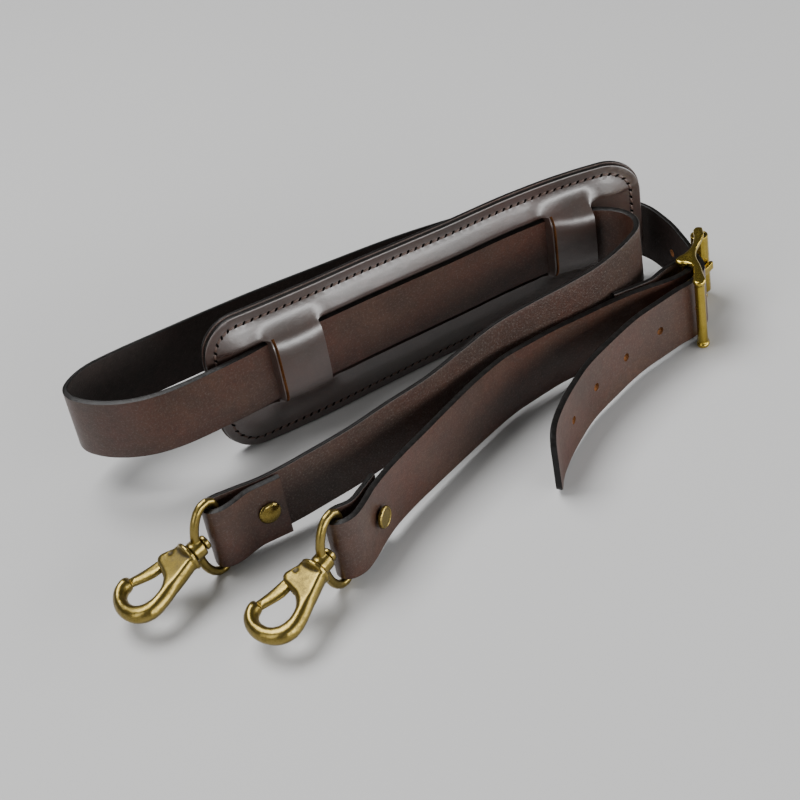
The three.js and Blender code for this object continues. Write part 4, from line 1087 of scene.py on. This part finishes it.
def casting(name, cad_node, material, body, rounds, voxel_share=1.0, clip=None, regain=0.0):
    """Remakes a drawn piece as a casting with soft edges, in the same place."""
    bm = bmesh.new()
    bm.from_mesh(frame["nodes"][cad_node].data)
    bmesh.ops.remove_doubles(bm, verts=bm.verts, dist=1e-6)
    piece = add_object(name, to_mesh(bm, name), [material], 180)
    voxel = bpy.context.scene.neck_strap.metal.voxel * voxel_share
    remesh_cast(piece, voxel, rounds)
    painted_shade_rod = None
    if clip:
        is_gate = "gate" in cad_node
        round_hook(piece.data, clip, is_gate)
        remesh_cast(piece, voxel, 3)
        if not is_gate:
            soften_body(piece, clip, 18)
            # The hook's pin gets painted shade: a rod of full patina round it.
            painted_shade_rod = (clip.pin, clip.face, PIN_SHADE_RADIUS * MM)
    swell(piece.data, regain)
    piece.data.polygons.foreach_set("use_smooth", [True] * len(piece.data.polygons))
    if not piece.data.materials:
        piece.data.materials.append(material)
    hollow_attribute(piece.data, painted_shade_rod)
    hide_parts(cad_node)
    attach(piece, body)
    return piece


def clip_axes(name):
    """Where a clip's post crosses its ring's barrel, and the hook's own axes."""
    joints = {joint["name"]: joint for joint in frame["joints"]}
    swivel, hinge = joints[f"{name}_hook_swivel"], joints[f"{name}_gate_hinge"]
    post, face = Vector(swivel["axis"]), -Vector(hinge["axis"])
    return Clip(Vector(swivel["pos_m"]), post, face.cross(post), face, Vector(hinge["pos_m"]))


def outline_depth(u, v):
    """How far each place lies inside the outline that all the places fill, in millimetres."""
    cell, margin = 0.3, 3
    i = np.floor((u - u.min()) / cell).astype(int) + margin
    j = np.floor((v - v.min()) / cell).astype(int) + margin
    filled = np.zeros((i.max() + margin + 1, j.max() + margin + 1), dtype=bool)
    filled[i, j] = True
    shifts = [(a, b) for a in (-1, 0, 1) for b in (-1, 0, 1)]
    grown = np.any([np.roll(filled, shift, (0, 1)) for shift in shifts], axis=0)
    closed = np.all([np.roll(grown, shift, (0, 1)) for shift in shifts], axis=0)
    rim = closed & ~np.all([np.roll(closed, shift, (0, 1)) for shift in shifts], axis=0)
    rim_i, rim_j = np.nonzero(rim)
    rim_u, rim_v = (rim_i - margin + 0.5) * cell + u.min(), (rim_j - margin + 0.5) * cell + v.min()
    depth = np.full(len(u), np.inf)
    for a, b in zip(rim_u, rim_v):
        depth = np.minimum(depth, np.hypot(u - a, v - b))
    return depth


def eased(value):
    """The smooth step of a whole array."""
    value = np.clip(value, 0, 1)
    return value * value * (3 - 2 * value)


def round_hook(mesh, clip, is_gate):
    """Gives the flat-sided hook or gate its cast section: eased edges that turn into a round bow."""
    places = vertex_array(mesh, "co")
    axes = np.array([clip.post, clip.gateward, clip.face])
    local = (places - np.array(clip.origin)) @ axes.T / MM
    u, v, w = local.T
    body = u > HOOK_BODY_FROM - 1
    depth = np.full(len(u), HOOK_ROUND)
    depth[body] = outline_depth(u[body], v[body])
    towards_hook = eased((u - BOW_FROM) / 8)
    radius = mix(BODY_ROUND, HOOK_ROUND, towards_hook)
    share = np.sqrt(1 - (1 - np.clip(depth / radius, 0.02, 1)) ** 2)
    if is_gate:
        share = np.maximum(share, GATE_RIM_SHARE) * GATE_SHARE
        growth = GATE_GROWTH * eased((u - BOW_FROM) / GATE_TIP_LENGTH)
    else:
        beside_gate = eased((v + 0.5) / 1.5) * eased((14 - u) / 2)
        share = np.maximum(share, CHEEK_SHARE * beside_gate)
        share *= 1 - 0.14 * np.clip((v + 4.5) / 9, 0, 1) * (1 - towards_hook)
        share *= 1 + 0.08 * towards_hook
        growth = HOOK_GROWTH * eased((u - BOW_FROM) / BOW_FROM)
    start = 0 if is_gate else HOOK_BODY_FROM
    local[:, 2] = w * (1 + (share - 1) * eased(u - start))
    local[:, 0] = u + growth
    moved = np.array(clip.origin) + local @ axes * MM
    mesh.vertices.foreach_set("co", moved.ravel())


def soften_body(piece, clip, rounds):
    """Tumbles only the hook's body, so that its collar and post stay crisp."""
    axis = np.array(clip.post)
    reach = (vertex_array(piece.data, "co") - np.array(clip.origin)) @ axis / MM
    group = piece.vertex_groups.new(name="body")
    group.add(np.nonzero(reach > HOOK_BODY_FROM + 1)[0].tolist(), 1.0, "REPLACE")
    fair = piece.modifiers.new("tumble_body", "SMOOTH")
    fair.factor = 0.5
    fair.iterations = rounds
    fair.vertex_group = "body"
    bake_modifiers(piece)
    piece.vertex_groups.clear()


def swell(mesh, amount_mm):
    """Moves the skin out along its normals, to give back what smoothing took."""
    places = vertex_array(mesh, "co") + vertex_array(mesh, "normal") * amount_mm * MM
    mesh.vertices.foreach_set("co", places.ravel())


class STRAP_OT_rings(bpy.types.Operator):
    """Casts the two D-rings with their barrels"""

    bl_idname = "neck_strap.rings"
    bl_label = "D-rings"

    def execute(self, context):
        for clip in ("clip_1", "clip_2"):
            casting(f"{clip}_ring_brass", f"{clip}_ring", finishes().antique, f"{clip}_ring", 34,
                    regain=0.17)
        return {"FINISHED"}


class STRAP_OT_hooks(bpy.types.Operator):
    """Casts the two swivel hooks and their gates"""

    bl_idname = "neck_strap.hooks"
    bl_label = "Snap hooks"

    def execute(self, context):
        for clip in ("clip_1", "clip_2"):
            casting(f"{clip}_hook_brass", f"{clip}_hook", finishes().antique, f"{clip}_hook", 6, 1.0,
                    clip_axes(clip), 0.12)
            casting(f"{clip}_gate_brass", f"{clip}_gate", finishes().antique, f"{clip}_gate", 4, 0.7,
                    clip_axes(clip), 0.05)
        return {"FINISHED"}


class STRAP_OT_buckle(bpy.types.Operator):
    """Casts the buckle's frame, roller and tongue"""

    bl_idname = "neck_strap.buckle"
    bl_label = "Buckle"

    def execute(self, context):
        casting("buckle_frame_brass", "buckle_frame", finishes().bright, "strap", 10)
        casting("buckle_roller_brass", "buckle_roller", finishes().bright, "strap", 4, 0.8)
        casting("buckle_tongue_brass", "buckle_tongue", finishes().bright, "strap", 6, 0.8)
        return {"FINISHED"}


class STRAP_OT_fasteners(bpy.types.Operator):
    """Makes the rivets and the stud"""

    bl_idname = "neck_strap.fasteners"
    bl_label = "Rivets and stud"

    def execute(self, context):
        made = finishes()
        casting("clip_1_rivet_brass", "clip_1_rivet", made.rubbed, "strap", 6, 0.55)
        casting("clip_2_stud_brass", "clip_2_stud", made.antique, "strap", 5, 0.5)
        casting("buckle_rivet_brass", "buckle_rivet", made.dark, "strap", 6, 0.55)
        return {"FINISHED"}


def add_light(name, place, target, size, power):
    light = bpy.data.lights.new(name, "AREA")
    light.shape = "RECTANGLE"
    light.size, light.size_y = size
    light.energy = power
    lamp = bpy.data.objects.new(name, light)
    bpy.context.scene.collection.objects.link(lamp)
    lamp.location = place
    lamp.rotation_euler = (Vector(target) - Vector(place)).to_track_quat("-Z", "Y").to_euler()
    return lamp


class STRAP_OT_stage(bpy.types.Operator):
    """Sets the floor, the lights and the camera"""

    bl_idname = "neck_strap.stage"
    bl_label = "Stage"

    def execute(self, context):
        stage = context.scene.neck_strap.stage
        bm = bmesh.new()
        bmesh.ops.create_grid(bm, x_segments=1, y_segments=1, size=3)
        paper = new_material("matt_paper", Roughness=0.9, IOR=1.3, Base_Color=(*stage.floor, 1))[0]
        floor = add_object("floor", to_mesh(bm, "floor"), [paper])
        world = bpy.data.worlds.new("studio")
        world.use_nodes = True
        world.node_tree.nodes["Background"].inputs["Color"].default_value = (0.85, 0.84, 0.8, 1)
        world.node_tree.nodes["Background"].inputs["Strength"].default_value = 0.13
        context.scene.world = world
        middle = (0.0, 0.0, 0.02)
        add_light("softbox_above", (-0.3, 0.45, 1.15), middle, (1.0, 0.7), 24)
        add_light("softbox_front", (0.35, -1.05, 0.3), middle, (1.2, 0.35), 14)
        add_light("softbox_right", (1.15, -0.4, 0.28), middle, (0.9, 0.4), 9)
        add_light("softbox_left", (-1.0, -0.3, 0.5), middle, (0.5, 0.7), 4)
        camera = bpy.data.objects.new("camera", bpy.data.cameras.new("camera"))
        context.scene.collection.objects.link(camera)
        azimuth, elevation, roll = [math.radians(angle) for angle in (22, 36, 11.24)]
        distance = 0.659
        right = Vector((math.cos(azimuth), -math.sin(azimuth), 0))
        ahead = Vector((math.sin(azimuth), math.cos(azimuth), 0))
        forward = ahead * math.cos(elevation) - Vector((0, 0, math.sin(elevation)))
        up = ahead * math.sin(elevation) + Vector((0, 0, math.cos(elevation)))
        rolled_right = right * math.cos(roll) - up * math.sin(roll)
        rolled_up = right * math.sin(roll) + up * math.cos(roll)
        camera.matrix_world = Matrix.Translation(SHIFT * MM - forward * distance) @ Matrix(
            (rolled_right, rolled_up, -forward)).transposed().to_4x4()
        camera.data.lens = stage.lens
        camera.data.clip_start = 0.01
        context.scene.camera = camera
        return {"FINISHED"}


class STRAP_PT_panel(bpy.types.Panel):
    """Lists the pieces and their settings."""

    bl_idname = "STRAP_PT_panel"
    bl_label = "Neck strap"
    bl_space_type = "VIEW_3D"
    bl_region_type = "UI"
    bl_category = "Neck strap"

    def draw(self, context):
        settings = context.scene.neck_strap
        for group in (settings.leather, settings.metal, settings.stage):
            box = self.layout.box()
            for name in group.__annotations__:
                box.prop(group, name)
        for operator in OPERATORS:
            self.layout.operator(operator.bl_idname)


OPERATORS = (STRAP_OT_stage, STRAP_OT_pad, STRAP_OT_stitching, STRAP_OT_straps, STRAP_OT_rings,
             STRAP_OT_hooks, STRAP_OT_buckle, STRAP_OT_fasteners)
CLASSES = (LeatherSettings, MetalSettings, StageSettings, StrapSettings, *OPERATORS, STRAP_PT_panel)


def register():
    for each in CLASSES:
        bpy.utils.register_class(each)
    bpy.types.Scene.neck_strap = bpy.props.PointerProperty(type=StrapSettings)


def unregister():
    del bpy.types.Scene.neck_strap
    for each in reversed(CLASSES):
        bpy.utils.unregister_class(each)


def main():
    register()
    for operator in OPERATORS:
        name = operator.bl_idname.split(".")[1]
        getattr(bpy.ops.neck_strap, name)()


if __name__ == "__main__":
    main()
